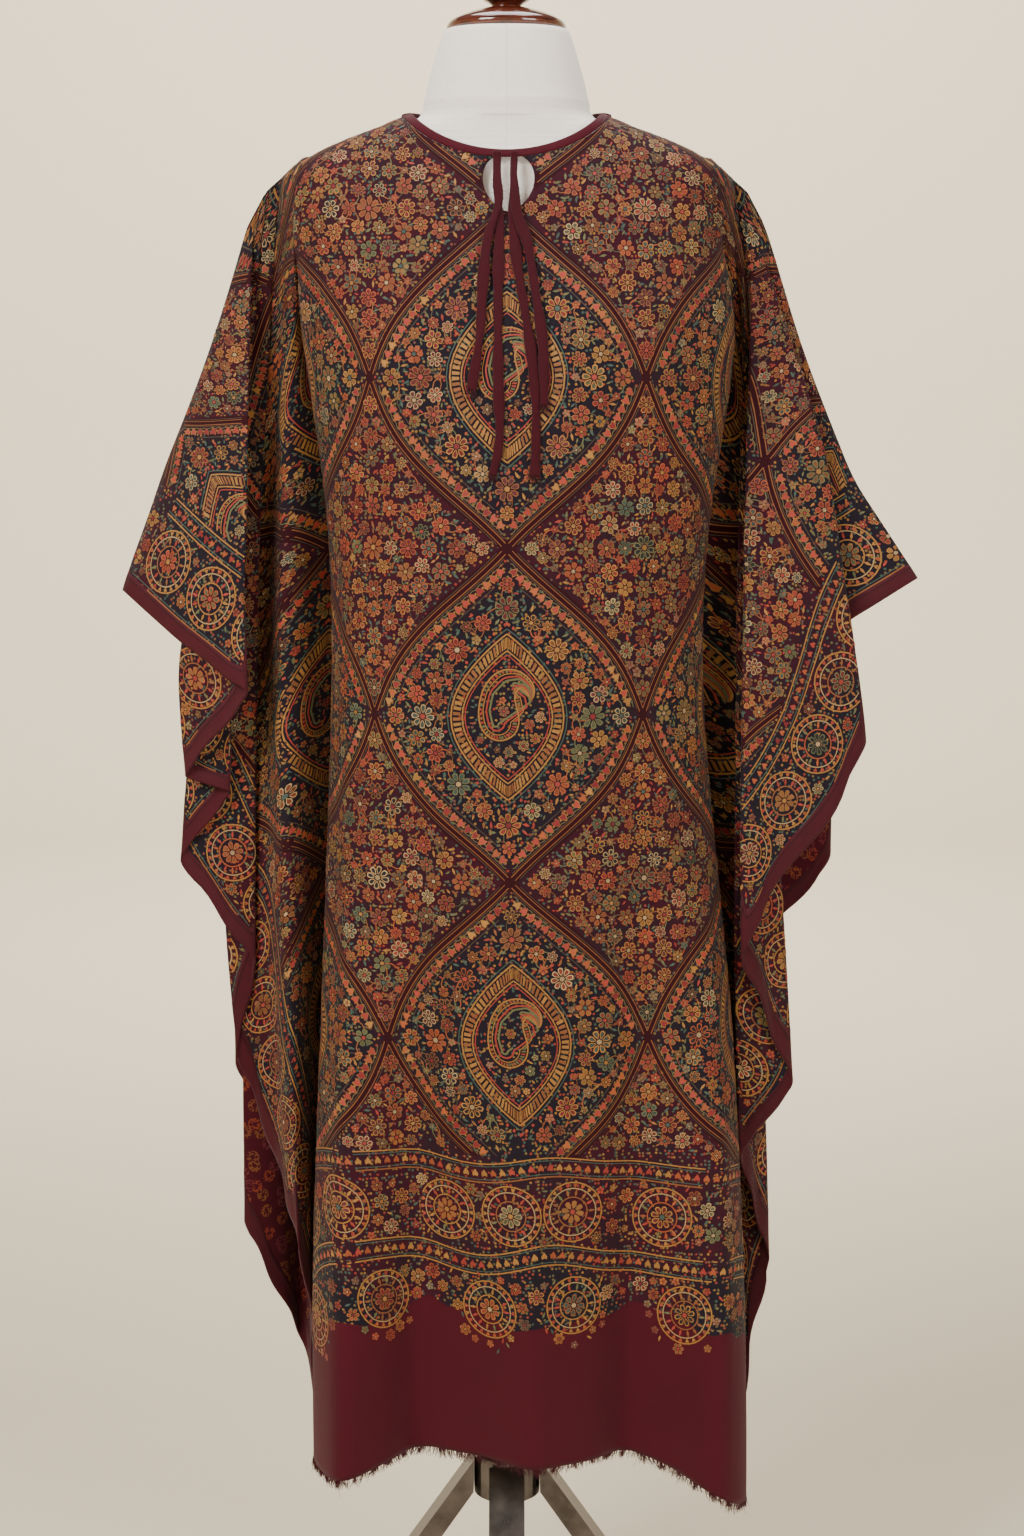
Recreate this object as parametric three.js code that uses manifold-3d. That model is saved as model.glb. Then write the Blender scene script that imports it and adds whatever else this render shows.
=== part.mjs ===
// A butterfly kaftan hanging on a limbless dress form with a four-legged stand.
// Millimetres, +Z up, the front faces -Y, the floor is z = 0.
import * as THREE from 'three';
import * as BufferGeometryUtils from 'three/addons/utils/BufferGeometryUtils.js';
import Module from 'manifold-3d';

const wasm = await Module();
wasm.setup();

// Driving dimensions
const CENTRE_X = -5; // the form's and the neck opening's centre line
const CLOTH = 1.2; // wall thickness
const SEAM_GAP = 0.3; // between pieces that meet at a seam
const SHEET_Y = CLOTH / 2 + SEAM_GAP / 2; // how far each sheet's middle stays from y = 0
const STRIP = 12; // width of the maroon strip on a wing edge
const TURN = 13; // fold lines nearer than this are the two sides of one turn
const WIDE = 30; // lines further apart than this get a column between them
const STRIP_GAP = 1.4; // between a strip and its panel
const CLEARANCE = 6.5; // between the form and the cloth's control points
const TOP_DROPS = [0, 4, 12, 26, 50, 90, 140, 200]; // levels below the shoulder line, in mm
const LOWER_LEVELS = [0.13, 0.27, 0.41, 0.55, 0.69, 0.83, 0.94, 1]; // shares of what is left

// The shoulder line and the wing's upper edge, outward from the centre line, one row per point
const RIDGE = [
  { out: 0, z: 1534 },
  { out: 60, z: 1530 },
  { out: 85, z: 1523 },
  { out: 139, z: 1506 },
  { out: 186, z: 1486 },
  { out: 219, z: 1458 },
  { out: 236, z: 1427 },
  { out: 252, z: 1375 },
  { out: 275, z: 1306 },
  { out: 319, z: 1200 },
];
const WING_TIP = { left: { out: 357, z: 1096 }, right: { out: 382, z: 1107 } };

// The form's rings: half width, depth to the front and to the back
const FORM_RINGS = [
  { z: 1598, half: 57, front: 57, back: 57 },
  { z: 1574, half: 65, front: 62, back: 60 },
  { z: 1545, half: 73, front: 64, back: 62 },
  { z: 1530, half: 76, front: 66, back: 64 },
  { z: 1521, half: 83, front: 67, back: 65 },
  { z: 1514, half: 106, front: 66, back: 64 },
  { z: 1504, half: 137, front: 67, back: 64 },
  { z: 1494, half: 161, front: 69, back: 66 },
  { z: 1484, half: 182, front: 73, back: 69 },
  { z: 1470, half: 196, front: 80, back: 75 },
  { z: 1450, half: 199, front: 86, back: 80 },
  { z: 1420, half: 197, front: 95, back: 87 },
  { z: 1380, half: 186, front: 103, back: 92 },
  { z: 1330, half: 172, front: 110, back: 96 },
  { z: 1280, half: 160, front: 113, back: 96 },
  { z: 1200, half: 143, front: 104, back: 91 },
  { z: 1110, half: 128, front: 92, back: 84 },
  { z: 1020, half: 138, front: 96, back: 94 },
  { z: 920, half: 154, front: 102, back: 106 },
  { z: 830, half: 152, front: 100, back: 104 },
  { z: 760, half: 146, front: 95, back: 98 },
];

// The body of the kaftan: where its side edges show, and its depth
const BODY_RINGS = [
  { z: 1500, left: 185, right: 178, front: 76, back: 74 },
  { z: 1470, left: 198, right: 188, front: 90, back: 84 },
  { z: 1440, left: 200, right: 194, front: 103, back: 94 },
  { z: 1400, left: 200, right: 200, front: 114, back: 102 },
  { z: 1350, left: 198, right: 208, front: 124, back: 109 },
  { z: 1300, left: 189, right: 207, front: 129, back: 113 },
  { z: 1220, left: 174, right: 190, front: 131, back: 114 },
  { z: 1150, left: 167, right: 178, front: 130, back: 112 },
  { z: 1000, left: 168, right: 175, front: 128, back: 116 },
  { z: 850, left: 174, right: 191, front: 126, back: 118 },
  { z: 725, left: 175, right: 203, front: 124, back: 118 },
  { z: 534, left: 180, right: 210, front: 120, back: 116 },
  { z: 240, left: 195, right: 227, front: 116, back: 112 },
];
const RING_POWER = 2.4; // 2 is an ellipse, more is squarer
const SEAM_INSET = 7; // the side seam lies this far inside the edge that shows
const SEAM_HALF = 3; // the sheets run flat together this far each side of the seam line
const SEAM_STARTS = { left: 180, right: 182 }; // on the shoulder line
const SEAM_JOINS_Z = 1200; // below this the two sheets are sewn together
const FOLDS_START_Z = 1010; // the hem's folds fade out here

// The wing's folds, one row each from the outer edge in: distances outward from the centre at the
// shoulder, at 12 %, 45 % and 80 % of the fold's length and at its end, its depth from the
// middle plane, the height of its end on the free edge, and how far the cloth rolls round it, which is
// less than nothing where the cloth turns forward
const FRONT_LEFT = [
  { fold: 'cape', start: 234, high: 242, mid: 262, low: 288, end: 294, depth: 44, endZ: 1046, roll: 0 },
  { fold: 'front', start: 231, high: 232, mid: 233, low: 235, end: 234, depth: 64, endZ: 1007, roll: 6 },
  { fold: 'second_out', start: 226, high: 238, mid: 271, low: 306, end: 299, depth: 34, endZ: 925, roll: 4 },
  { fold: 'second_in', start: 221, high: 226, mid: 241, low: 253, end: 256, depth: 26, endZ: 910, roll: 4 },
  { fold: 'third_out', start: 215, high: 228, mid: 263, low: 296, end: 308, depth: 17, endZ: 843, roll: 3 },
  { fold: 'third_in', start: 209, high: 214, mid: 228, low: 234, end: 236, depth: 12, endZ: 745, roll: 5 },
  { fold: 'fourth_out', start: 204, high: 214, mid: 241, low: 272, end: 258, depth: 5, endZ: 652, roll: 3 },
  { fold: 'fourth_in', start: 200, high: 205, mid: 219, low: 221, end: 217, depth: 3, endZ: 545, roll: 0 },
  { fold: 'tube_out', start: 195, high: 200, mid: 213, low: 211, end: 203, depth: 56, endZ: 508, roll: 0 },
  { fold: 'tube_in', start: 188, high: 190, mid: 196, low: 192, end: 189, depth: 58, endZ: 462, roll: 0 },
];
const FRONT_RIGHT = [
  { fold: 'cape', start: 223, high: 243, mid: 274, low: 313, end: 327, depth: 7, endZ: 1074, roll: 0 },
  { fold: 'first_in', start: 220, high: 238, mid: 248, low: 265, end: 273, depth: 7, endZ: 1040, roll: -3 },
  { fold: 'first_out', start: 216, high: 234, mid: 292, low: 323, end: 336, depth: 26, endZ: 956, roll: -5 },
  { fold: 'front_in', start: 211, high: 224, mid: 215, low: 213, end: 215, depth: 56, endZ: 760, roll: 6 },
  { fold: 'second_out', start: 206, high: 221, mid: 237, low: 260, end: 273, depth: 25, endZ: 632, roll: 4 },
  { fold: 'second_in', start: 201, high: 218, mid: 211, low: 211, end: 219, depth: 38, endZ: 563, roll: 4 },
  { fold: 'third_out', start: 195, high: 215, mid: 227, low: 245, end: 253, depth: 9, endZ: 455, roll: 3 },
  { fold: 'third_in', start: 190, high: 211, mid: 210, low: 224, end: 233, depth: 4, endZ: 350, roll: 0 },
];
const BACK_LEFT = [
  { fold: 'cape', start: 234, high: 242, mid: 262, low: 288, end: 296, depth: 42, endZ: 1044, roll: 0 },
  { fold: 'back', start: 230, high: 231, mid: 232, low: 234, end: 236, depth: 62, endZ: 1002, roll: 8 },
  { fold: 'second_out', start: 224, high: 236, mid: 268, low: 296, end: 291, depth: 33, endZ: 900, roll: 7 },
  { fold: 'second_in', start: 218, high: 223, mid: 236, low: 240, end: 236, depth: 22, endZ: 800, roll: 4 },
  { fold: 'third_out', start: 211, high: 222, mid: 252, low: 262, end: 262, depth: 14, endZ: 640, roll: 5 },
  { fold: 'third_in', start: 205, high: 209, mid: 220, low: 226, end: 224, depth: 12, endZ: 566, roll: 7 },
  { fold: 'fourth_out', start: 200, high: 210, mid: 238, low: 254, end: 255, depth: 6, endZ: 487, roll: 4 },
  { fold: 'fourth_in', start: 196, high: 201, mid: 214, low: 216, end: 215, depth: 4, endZ: 400, roll: 0 },
  { fold: 'tube', start: 190, high: 194, mid: 203, low: 204, end: 200, depth: 52, endZ: 352, roll: 0 },
];
const BACK_RIGHT = [
  { fold: 'cape', start: 223, high: 243, mid: 272, low: 310, end: 326, depth: 30, endZ: 1066, roll: 0 },
  { fold: 'back', start: 219, high: 237, mid: 240, low: 252, end: 262, depth: 62, endZ: 1022, roll: 6 },
  { fold: 'first_out', start: 214, high: 233, mid: 286, low: 311, end: 312, depth: 30, endZ: 838, roll: 8 },
  { fold: 'second_in', start: 208, high: 223, mid: 226, low: 230, end: 230, depth: 23, endZ: 742, roll: 8 },
  { fold: 'second_out', start: 203, high: 220, mid: 242, low: 262, end: 267, depth: 16, endZ: 626, roll: 6 },
  { fold: 'third_in', start: 198, high: 216, mid: 216, low: 222, end: 228, depth: 12, endZ: 560, roll: 6 },
  { fold: 'third_out', start: 194, high: 213, mid: 226, low: 246, end: 250, depth: 7, endZ: 450, roll: 5 },
  { fold: 'fourth_in', start: 188, high: 209, mid: 210, low: 214, end: 224, depth: 2, endZ: 360, roll: 0 },
];

// The hem, one row per lengthwise line of the body: its share of the way from the centre to the
// side seam, and where it ends on the front and on the back
const HEM = [
  { share: -1, x: -186, front: 1, frontZ: 282, back: 1, backZ: 282 },
  { share: -0.94, x: -192, front: 45, frontZ: 280, back: 50, backZ: 281 },
  { share: -0.8, x: -182, front: 112, frontZ: 280, back: 100, backZ: 282 },
  { share: -0.65, x: -153, front: 150, frontZ: 287, back: 122, backZ: 284 },
  { share: -0.5, x: -112, front: 112, frontZ: 296, back: 96, backZ: 290 },
  { share: -0.34, x: -78, front: 72, frontZ: 300, back: 78, backZ: 292 },
  { share: -0.17, x: -32, front: 104, frontZ: 297, back: 104, backZ: 290 },
  { share: 0, x: 20, front: 140, frontZ: 294, back: 132, backZ: 286 },
  { share: 0.17, x: 66, front: 114, frontZ: 294, back: 108, backZ: 286 },
  { share: 0.34, x: 107, front: 80, frontZ: 293, back: 84, backZ: 286 },
  { share: 0.5, x: 148, front: 102, frontZ: 284, back: 106, backZ: 280 },
  { share: 0.65, x: 186, front: 130, frontZ: 269, back: 130, backZ: 270 },
  { share: 0.8, x: 213, front: 126, frontZ: 252, back: 110, backZ: 258 },
  { share: 0.94, x: 226, front: 60, frontZ: 241, back: 54, backZ: 246 },
  { share: 1, x: 218, front: 1, frontZ: 243, back: 1, backZ: 243 },
];

// The neck opening: the upper edge of the panels, outside the binding
const NECK_SEAM = { out: 94, sideZ: 1525, frontZ: 1480, backZ: 1525 };
const LINES_A_SIDE = 12; // lengthwise lines of the body from its centre to a side seam
const NECK_SHARE = 0.5; // body lines inside this share start on the neck opening
const NECK_LINES = { first: 5, last: 17 }; // those lines, counted from the left side seam
const BINDING = { width: 8, thick: 2.2 };
const KEYHOLE = { x: -3, topZ: 1484, wideZ: 1462, bottomZ: 1433, width: 45 };
const TIE = { width: 9, thick: 1.1, steps: 14 };
// The ties' tails as they hang: places across and up, and which lies on top
const TIES = [
  { layer: 1, path: [[-13, 1484], [-13, 1460], [-12, 1437], [-21, 1409], [-25, 1371], [-28, 1323], [-35, 1278]] },
  { layer: 0, path: [[-13, 1482], [-13, 1455], [-11, 1428], [-12, 1371], [-12, 1293], [-11, 1236], [-17, 1205]] },
  { layer: 0, path: [[2, 1482], [1, 1455], [1, 1432], [4, 1390], [12, 1341], [19, 1293], [21, 1255], [20, 1204]] },
  { layer: 1, path: [[2, 1484], [2, 1460], [4, 1432], [13, 1405], [22, 1351], [27, 1313], [28, 1265]] },
];
const FRINGE = { strands: 52, backing: 3, length: 9, width: 1.6 };

// The stand: half outlines turned about the pole, and the side outline of a leg
const CAP = [[0, 1598.3], [51, 1598.3], [54, 1602], [52, 1607], [40, 1614], [22, 1619], [0, 1619]];
const KNOB = [
  [0, 1619.3], [13, 1619.3], [14, 1623], [22, 1627], [25.5, 1636],
  [25.5, 1648], [20, 1659], [11, 1665], [0, 1667],
];
const HUB = [[0, 212], [26, 212], [32, 216], [32, 256], [26, 262], [0, 262]];
const LEG = { outline: [[32.3, 252], [205, 5], [205, 0], [183, 0], [32.3, 220]], width: 34 };
const POLE_RADIUS = 13;

const COLOURS = {
  cloth: { color: 0x6b3a25, roughness: 0.9, metalness: 0 },
  maroon: { color: 0x4a0e1b, roughness: 0.9, metalness: 0 },
  linen: { color: 0xe6e1d8, roughness: 0.95, metalness: 0 },
  wood: { color: 0x3a1710, roughness: 0.25, metalness: 0 },
  steel: { color: 0x77726e, roughness: 0.35, metalness: 0.9 },
};

// Small helpers
const lerp = THREE.MathUtils.lerp;
const clamp = THREE.MathUtils.clamp;
const smooth = (a, b, x) => THREE.MathUtils.smoothstep(x, a, b);
const lowered = (from, to, z) => 1 - smooth(to, from, z);
const power = (v, p) => Math.sign(v) * Math.abs(v) ** p;

// Straight-line interpolation in a table whose key column only rises or only falls
function lookUp(table, key, value, column) {
  const rising = table.at(-1)[key] > table[0][key];
  const rows = rising ? table : [...table].reverse();
  if (value <= rows[0][key]) return rows[0][column];
  for (let i = 1; i < rows.length; i += 1) {
    if (value <= rows[i][key]) {
      const share = (value - rows[i - 1][key]) / (rows[i][key] - rows[i - 1][key]);
      return lerp(rows[i - 1][column], rows[i][column], share);
    }
  }
  return rows.at(-1)[column];
}

const ridgeFor = (side) => [...RIDGE, WING_TIP[side]];

// How deep the form is at a place, to the front or the back, made larger by the clearance
function formDepth(out, z, facing) {
  const half = lookUp(FORM_RINGS, 'z', z - CLEARANCE / 2, 'half') + CLEARANCE;
  const depth = lookUp(FORM_RINGS, 'z', z, facing) + CLEARANCE;
  const inside = 1 - Math.min(1, Math.abs(out) / half) ** RING_POWER;
  return depth * inside ** (1 / RING_POWER);
}

// A point of the neck opening: angle 0 is the side towards +X, 90 the front, 270 the back
function neckPoint(edge, angle, facing) {
  const out = edge.out * Math.cos(angle);
  const turn = Math.abs(Math.sin(angle));
  const z = lerp(edge.sideZ, facing === 'front' ? edge.frontZ : edge.backZ, turn ** 1.3);
  const depth = Math.max(SHEET_Y, formDepth(out, z, facing));
  return { out, depth: lerp(SHEET_Y, depth, smooth(0, 0.25, turn)), z };
}

// Control points of one lengthwise line, as { out, depth, z } from the shoulder to the free edge
function levelsOf(startZ, endZ) {
  const lowest = TOP_DROPS.at(-1);
  const top = TOP_DROPS.map((drop) => startZ - drop);
  const rest = LOWER_LEVELS.map((share) => lerp(startZ - lowest, endZ, share));
  return [...top, ...rest];
}

function ridgeLine(side) {
  const table = ridgeFor(side);
  const first = side === 'left' ? 236 : 225;
  const startZ = lookUp(table, 'out', first, 'z');
  return levelsOf(startZ, WING_TIP[side].z).map((z) => {
    const out = lookUp(table, 'z', z, 'out');
    return { out, depth: SHEET_Y, z };
  });
}

function foldLine(row, side, facing, shift) {
  const startZ = lookUp(ridgeFor(side), 'out', row.start, 'z');
  const path = [
    { share: 0, out: row.start },
    { share: 0.12, out: row.high },
    { share: 0.45, out: row.mid },
    { share: 0.8, out: row.low },
    { share: 1, out: row.end },
  ];
  return levelsOf(startZ, row.endZ).map((z, level) => {
    const share = (startZ - z) / (startZ - row.endZ);
    const out = lookUp(path, 'share', share, 'out');
    const hang = (row.depth + shift) * (1 - (1 - share) ** 2);
    const over = level === 0 ? 0 : formDepth(out, z, facing);
    return { out, depth: Math.max(SHEET_Y, hang, over), z };
  });
}

function seamLine(side, facing, shift) {
  const sign = side === 'left' ? -1 : 1;
  const hem = sign < 0 ? HEM[0] : HEM.at(-1);
  const start = SEAM_STARTS[side];
  const startZ = lookUp(ridgeFor(side), 'out', start, 'z');
  return levelsOf(startZ, hem[`${facing}Z`]).map((z, level) => {
    const edge = lookUp(BODY_RINGS, 'z', z, side) - SEAM_INSET - sign * CENTRE_X;
    const hemOut = sign * (hem.x - CENTRE_X);
    const low = lerp(edge, hemOut, lowered(FOLDS_START_Z, hem.frontZ, z));
    const out = lerp(start, low, smooth(0, 5, level)) + shift;
    const over = level === 0 ? 0 : formDepth(out, z, facing);
    const open = lerp(SHEET_Y, Math.max(SHEET_Y, over), smooth(SEAM_JOINS_Z, SEAM_JOINS_Z + 60, z));
    return { out, depth: open, z };
  });
}

function hemRow(share) {
  const row = { share };
  for (const column of ['x', 'front', 'frontZ', 'back', 'backZ']) {
    row[column] = lookUp(HEM, 'share', share, column);
  }
  return row;
}

function bodyLine(row, facing) {
  const side = row.share < 0 ? 'left' : 'right';
  const share = Math.abs(row.share);
  let start;
  if (share <= NECK_SHARE) {
    start = neckPoint(NECK_SEAM, (1 - share / NECK_SHARE) * (Math.PI / 2), facing);
  } else {
    const out = lerp(NECK_SEAM.out, SEAM_STARTS[side], (share - NECK_SHARE) / (1 - NECK_SHARE));
    start = { out, depth: SHEET_Y, z: lookUp(ridgeFor(side), 'out', out, 'z') };
  }
  const endZ = row[`${facing}Z`];
  const angle = share * (Math.PI / 2);
  const sign = row.share < 0 ? -1 : 1;
  return levelsOf(start.z, endZ).map((z, level) => {
    const half = lookUp(BODY_RINGS, 'z', z, side) - sign * CENTRE_X;
    const ringOut = half * power(Math.sin(angle), 2 / RING_POWER);
    const ringDepth = lookUp(BODY_RINGS, 'z', z, facing) * power(Math.cos(angle), 2 / RING_POWER);
    const fold = lowered(FOLDS_START_Z, endZ, z) ** 1.3;
    const low = lerp(ringOut, sign * (row.x - CENTRE_X), fold);
    const deep = lerp(ringDepth, row[facing], fold);
    const spread = smooth(0, 7, level);
    const out = lerp(start.out, low, spread);
    const over = level === 0 ? start.depth : Math.max(SHEET_Y, formDepth(out, z, facing));
    return { out, depth: Math.max(over, deep * spread), z };
  });
}

// The net of control points of one sheet, from the left wing's edge to the right wing's
function sheetNet(facing, leftFolds, rightFolds) {
  const across = facing === 'front' ? -1 : 1;
  const place = (side) => (line) => line.map(({ out, depth, z }) => {
    const x = CENTRE_X + (side === 'left' ? -out : out);
    return new THREE.Vector3(x, across * depth, z);
  });
  const wing = (side, folds) => {
    const lines = [ridgeLine(side)];
    for (const row of folds) {
      if (row.roll === 0) {
        lines.push(foldLine(row, side, facing, 0));
      } else {
        lines.push(foldLine(row, side, facing, row.roll / 2));
        lines.push(foldLine(row, side, facing, -row.roll / 2));
      }
    }
    const inside = [SEAM_HALF, 0, -SEAM_HALF].map((shift) => seamLine(side, facing, shift));
    return [...lines, ...inside].map(place(side));
  };
  const left = wing('left', leftFolds);
  const right = wing('right', rightFolds).reverse();
  const body = [];
  for (let k = 1 - LINES_A_SIDE; k < LINES_A_SIDE; k += 1) {
    const line = bodyLine(hemRow(k / LINES_A_SIDE), facing);
    body.push(place(k < 0 ? 'left' : 'right')(line));
  }
  const lines = [...left, ...body, ...right];
  return { facing, lines, leftSeam: left.length - 2, rightSeam: left.length + body.length + 1 };
}

// Uniform cubic B-spline through a row of control points, meeting the first and the last
function spline(points, at) {
  const last = points.length - 1;
  const i = clamp(Math.floor(at), 0, last - 1);
  const t = at - i;
  const before = i > 0 ? points[i - 1] : points[0].clone().multiplyScalar(2).sub(points[1]);
  const after = i + 2 <= last ? points[i + 2] : points[last].clone().multiplyScalar(2).sub(points[last - 1]);
  const weights = [(1 - t) ** 3, 3 * t ** 3 - 6 * t ** 2 + 4, -3 * t ** 3 + 3 * t ** 2 + 3 * t + 1, t ** 3];
  const sum = new THREE.Vector3();
  [before, points[i], points[i + 1], after].forEach((p, k) => sum.addScaledVector(p, weights[k] / 6));
  return sum;
}

function sheetPoint(net, u, v) {
  const i = clamp(Math.floor(u), 0, net.lines.length - 2);
  const near = [];
  for (let k = Math.max(0, i - 1); k <= Math.min(net.lines.length - 1, i + 2); k += 1) {
    near.push(spline(net.lines[k], v));
  }
  return spline(near, u - Math.max(0, i - 1));
}

// A point of a sheet's middle surface with its normal, out of the garment
function sheetSpot(net, u, v) {
  const step = 0.02;
  const lastU = net.lines.length - 1;
  const lastV = net.lines[0].length - 1;
  const at = (du, dv) => sheetPoint(net, clamp(u + du, 0, lastU), clamp(v + dv, 0, lastV));
  const across = at(step, 0).sub(at(-step, 0));
  const down = at(0, step).sub(at(0, -step));
  const normal = down.cross(across).normalize();
  return { point: sheetPoint(net, u, v), normal: net.facing === 'front' ? normal : normal.negate() };
}

// A closed wall from a grid of spots
function wall(grid, thick) {
  const columns = grid.length;
  const rows = grid[0].length;
  const positions = [];
  const index = [];
  for (const side of [1, -1]) {
    grid.forEach((column) => column.forEach(({ point, normal }) => {
      const moved = point.clone().addScaledVector(normal, (side * thick) / 2);
      positions.push(moved.x, moved.y, moved.z);
    }));
  }
  const at = (side, i, j) => side * columns * rows + i * rows + j;
  const quad = (a, b, c, d) => index.push(a, b, c, a, c, d);
  for (let i = 0; i + 1 < columns; i += 1) {
    for (let j = 0; j + 1 < rows; j += 1) {
      quad(at(0, i, j), at(0, i, j + 1), at(0, i + 1, j + 1), at(0, i + 1, j));
      quad(at(1, i, j), at(1, i + 1, j), at(1, i + 1, j + 1), at(1, i, j + 1));
    }
    quad(at(0, i, 0), at(0, i + 1, 0), at(1, i + 1, 0), at(1, i, 0));
    quad(at(0, i, rows - 1), at(1, i, rows - 1), at(1, i + 1, rows - 1), at(0, i + 1, rows - 1));
  }
  for (let j = 0; j + 1 < rows; j += 1) {
    quad(at(0, 0, j), at(1, 0, j), at(1, 0, j + 1), at(0, 0, j + 1));
    quad(at(0, columns - 1, j), at(0, columns - 1, j + 1), at(1, columns - 1, j + 1), at(1, columns - 1, j));
  }
  return facingOut(positions, index);
}

// Turns a closed mesh's triangles so that its faces point out
function facingOut(positions, index) {
  const geometry = new THREE.BufferGeometry();
  geometry.setAttribute('position', new THREE.Float32BufferAttribute(positions, 3));
  let volume = 0;
  const p = (k) => new THREE.Vector3().fromArray(positions, 3 * k);
  for (let k = 0; k < index.length; k += 3) {
    volume += p(index[k]).dot(p(index[k + 1]).cross(p(index[k + 2])));
  }
  if (volume < 0) {
    for (let k = 0; k < index.length; k += 3) [index[k + 1], index[k + 2]] = [index[k + 2], index[k + 1]];
  }
  geometry.setIndex(index);
  return geometry;
}

// Closed mesh to solid and back, for cuts and joins
function toSolid(geometry) {
  const bare = geometry.clone();
  bare.deleteAttribute('normal');
  bare.deleteAttribute('uv');
  const merged = BufferGeometryUtils.mergeVertices(bare);
  return new wasm.Manifold(new wasm.Mesh({
    numProp: 3,
    vertProperties: new Float32Array(merged.attributes.position.array),
    triVerts: new Uint32Array(merged.index.array),
  }));
}

function fromSolid(solid) {
  const mesh = solid.getMesh();
  const geometry = new THREE.BufferGeometry();
  geometry.setAttribute('position', new THREE.Float32BufferAttribute(mesh.vertProperties, 3));
  geometry.setIndex([...mesh.triVerts]);
  return geometry;
}

const whole = new THREE.Group();
const group = new THREE.Group();
group.add(whole);

function add(name, geometry, look) {
  const mesh = new THREE.Mesh(geometry, new THREE.MeshStandardMaterial(COLOURS[look]));
  mesh.name = name;
  whole.add(mesh);
}

// Where the grid's columns lie: on each line, and midway where the cloth turns or lies wide
function columnsOf(net) {
  const columns = [];
  const last = net.lines.length - 1;
  for (let i = 0; i < last; i += 1) {
    columns.push(i);
    const gap = net.lines[i].at(-3).distanceTo(net.lines[i + 1].at(-3));
    const onWing = i < net.leftSeam - 1 || i > net.rightSeam;
    if ((onWing && gap < TURN) || gap > WIDE) columns.push(i + 0.5);
  }
  columns.push(last);
  return columns;
}

// Each column's rows end at the hem, or at the strip on the wing's free edge, whose width is
// measured square to the edge
function panelEnd(net, u, width, steepest = 0.3) {
  const last = net.lines[0].length - 1;
  const end = sheetPoint(net, u, last);
  const down = end.clone().sub(sheetPoint(net, u, last - 0.5)).multiplyScalar(2);
  const [before, after] = [Math.max(u - 0.3, 0), Math.min(u + 0.3, net.lines.length - 1)];
  const edge = sheetPoint(net, after, last).sub(sheetPoint(net, before, last)).normalize();
  const square = Math.max(down.clone().cross(edge).length(), down.length() * steepest);
  return last - width / square;
}

function stripWidth(net, u) {
  const fromSeam = u <= net.leftSeam ? net.leftSeam - u : u - net.rightSeam;
  return u > net.leftSeam && u < net.rightSeam ? 0 : STRIP * clamp(fromSeam / 2, 0, 1);
}

const ROWS = [0, 1, 2, 3, 4, 5, 6.3, 7.6, 9, 10.4, 11.8, 13.2]; // levels of a panel above its end

function panel(net) {
  const grid = columnsOf(net).map((u) => {
    const end = panelEnd(net, u, stripWidth(net, u));
    const rows = ROWS.filter((row) => row < end - 0.2);
    while (rows.length < ROWS.length) rows.push(lerp(rows.at(-1), end, 0.5));
    return [...rows, end].map((v) => sheetSpot(net, u, v));
  });
  return wall(grid, CLOTH);
}

function edgeStrip(net, side) {
  const columns = columnsOf(net).filter((u) => {
    const width = stripWidth(net, u);
    return width > STRIP * 0.4 && (side === 'left' ? u < net.leftSeam : u > net.rightSeam);
  });
  const last = net.lines[0].length - 1;
  const grid = columns.map((u) => {
    const first = panelEnd(net, u, stripWidth(net, u)) + last - panelEnd(net, u, STRIP_GAP, 0.1);
    return [first, (first + last) / 2, last].map((v) => sheetSpot(net, u, v));
  });
  return wall(grid, CLOTH);
}

// The keyhole below the neck, a drop-shaped hole cut through the front
function keyholeCutter() {
  const { x, topZ, wideZ, bottomZ, width } = KEYHOLE;
  const shape = new THREE.Shape();
  shape.moveTo(x, topZ);
  shape.bezierCurveTo(x + width * 0.3, topZ, x + width / 2, wideZ + 14, x + width / 2, wideZ);
  shape.bezierCurveTo(x + width / 2, wideZ - 16, x + 8, bottomZ, x, bottomZ);
  shape.bezierCurveTo(x - 8, bottomZ, x - width / 2, wideZ - 16, x - width / 2, wideZ);
  shape.bezierCurveTo(x - width / 2, wideZ + 14, x - width * 0.3, topZ, x, topZ);
  const cutter = new THREE.ExtrudeGeometry(shape, { depth: 90, bevelEnabled: false, curveSegments: 5 });
  cutter.rotateX(Math.PI / 2);
  cutter.translate(0, -50, 0);
  return cutter;
}

// A closed ring of wall, from the spots of its outer edge and of its inner edge
function wallRing(outer, inner, thick) {
  const positions = [];
  const index = [];
  const steps = outer.length;
  const corners = (k) => [[outer[k], 1], [outer[k], -1], [inner[k], -1], [inner[k], 1]];
  for (let k = 0; k < steps; k += 1) {
    for (const [{ point, normal }, side] of corners(k)) {
      const p = point.clone().addScaledVector(normal, (side * thick) / 2);
      positions.push(p.x, p.y, p.z);
    }
    const next = ((k + 1) % steps) * 4;
    for (let c = 0; c < 4; c += 1) {
      const d = (c + 1) % 4;
      index.push(k * 4 + c, k * 4 + d, next + d, k * 4 + c, next + d, next + c);
    }
  }
  return facingOut(positions, index);
}

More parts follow.
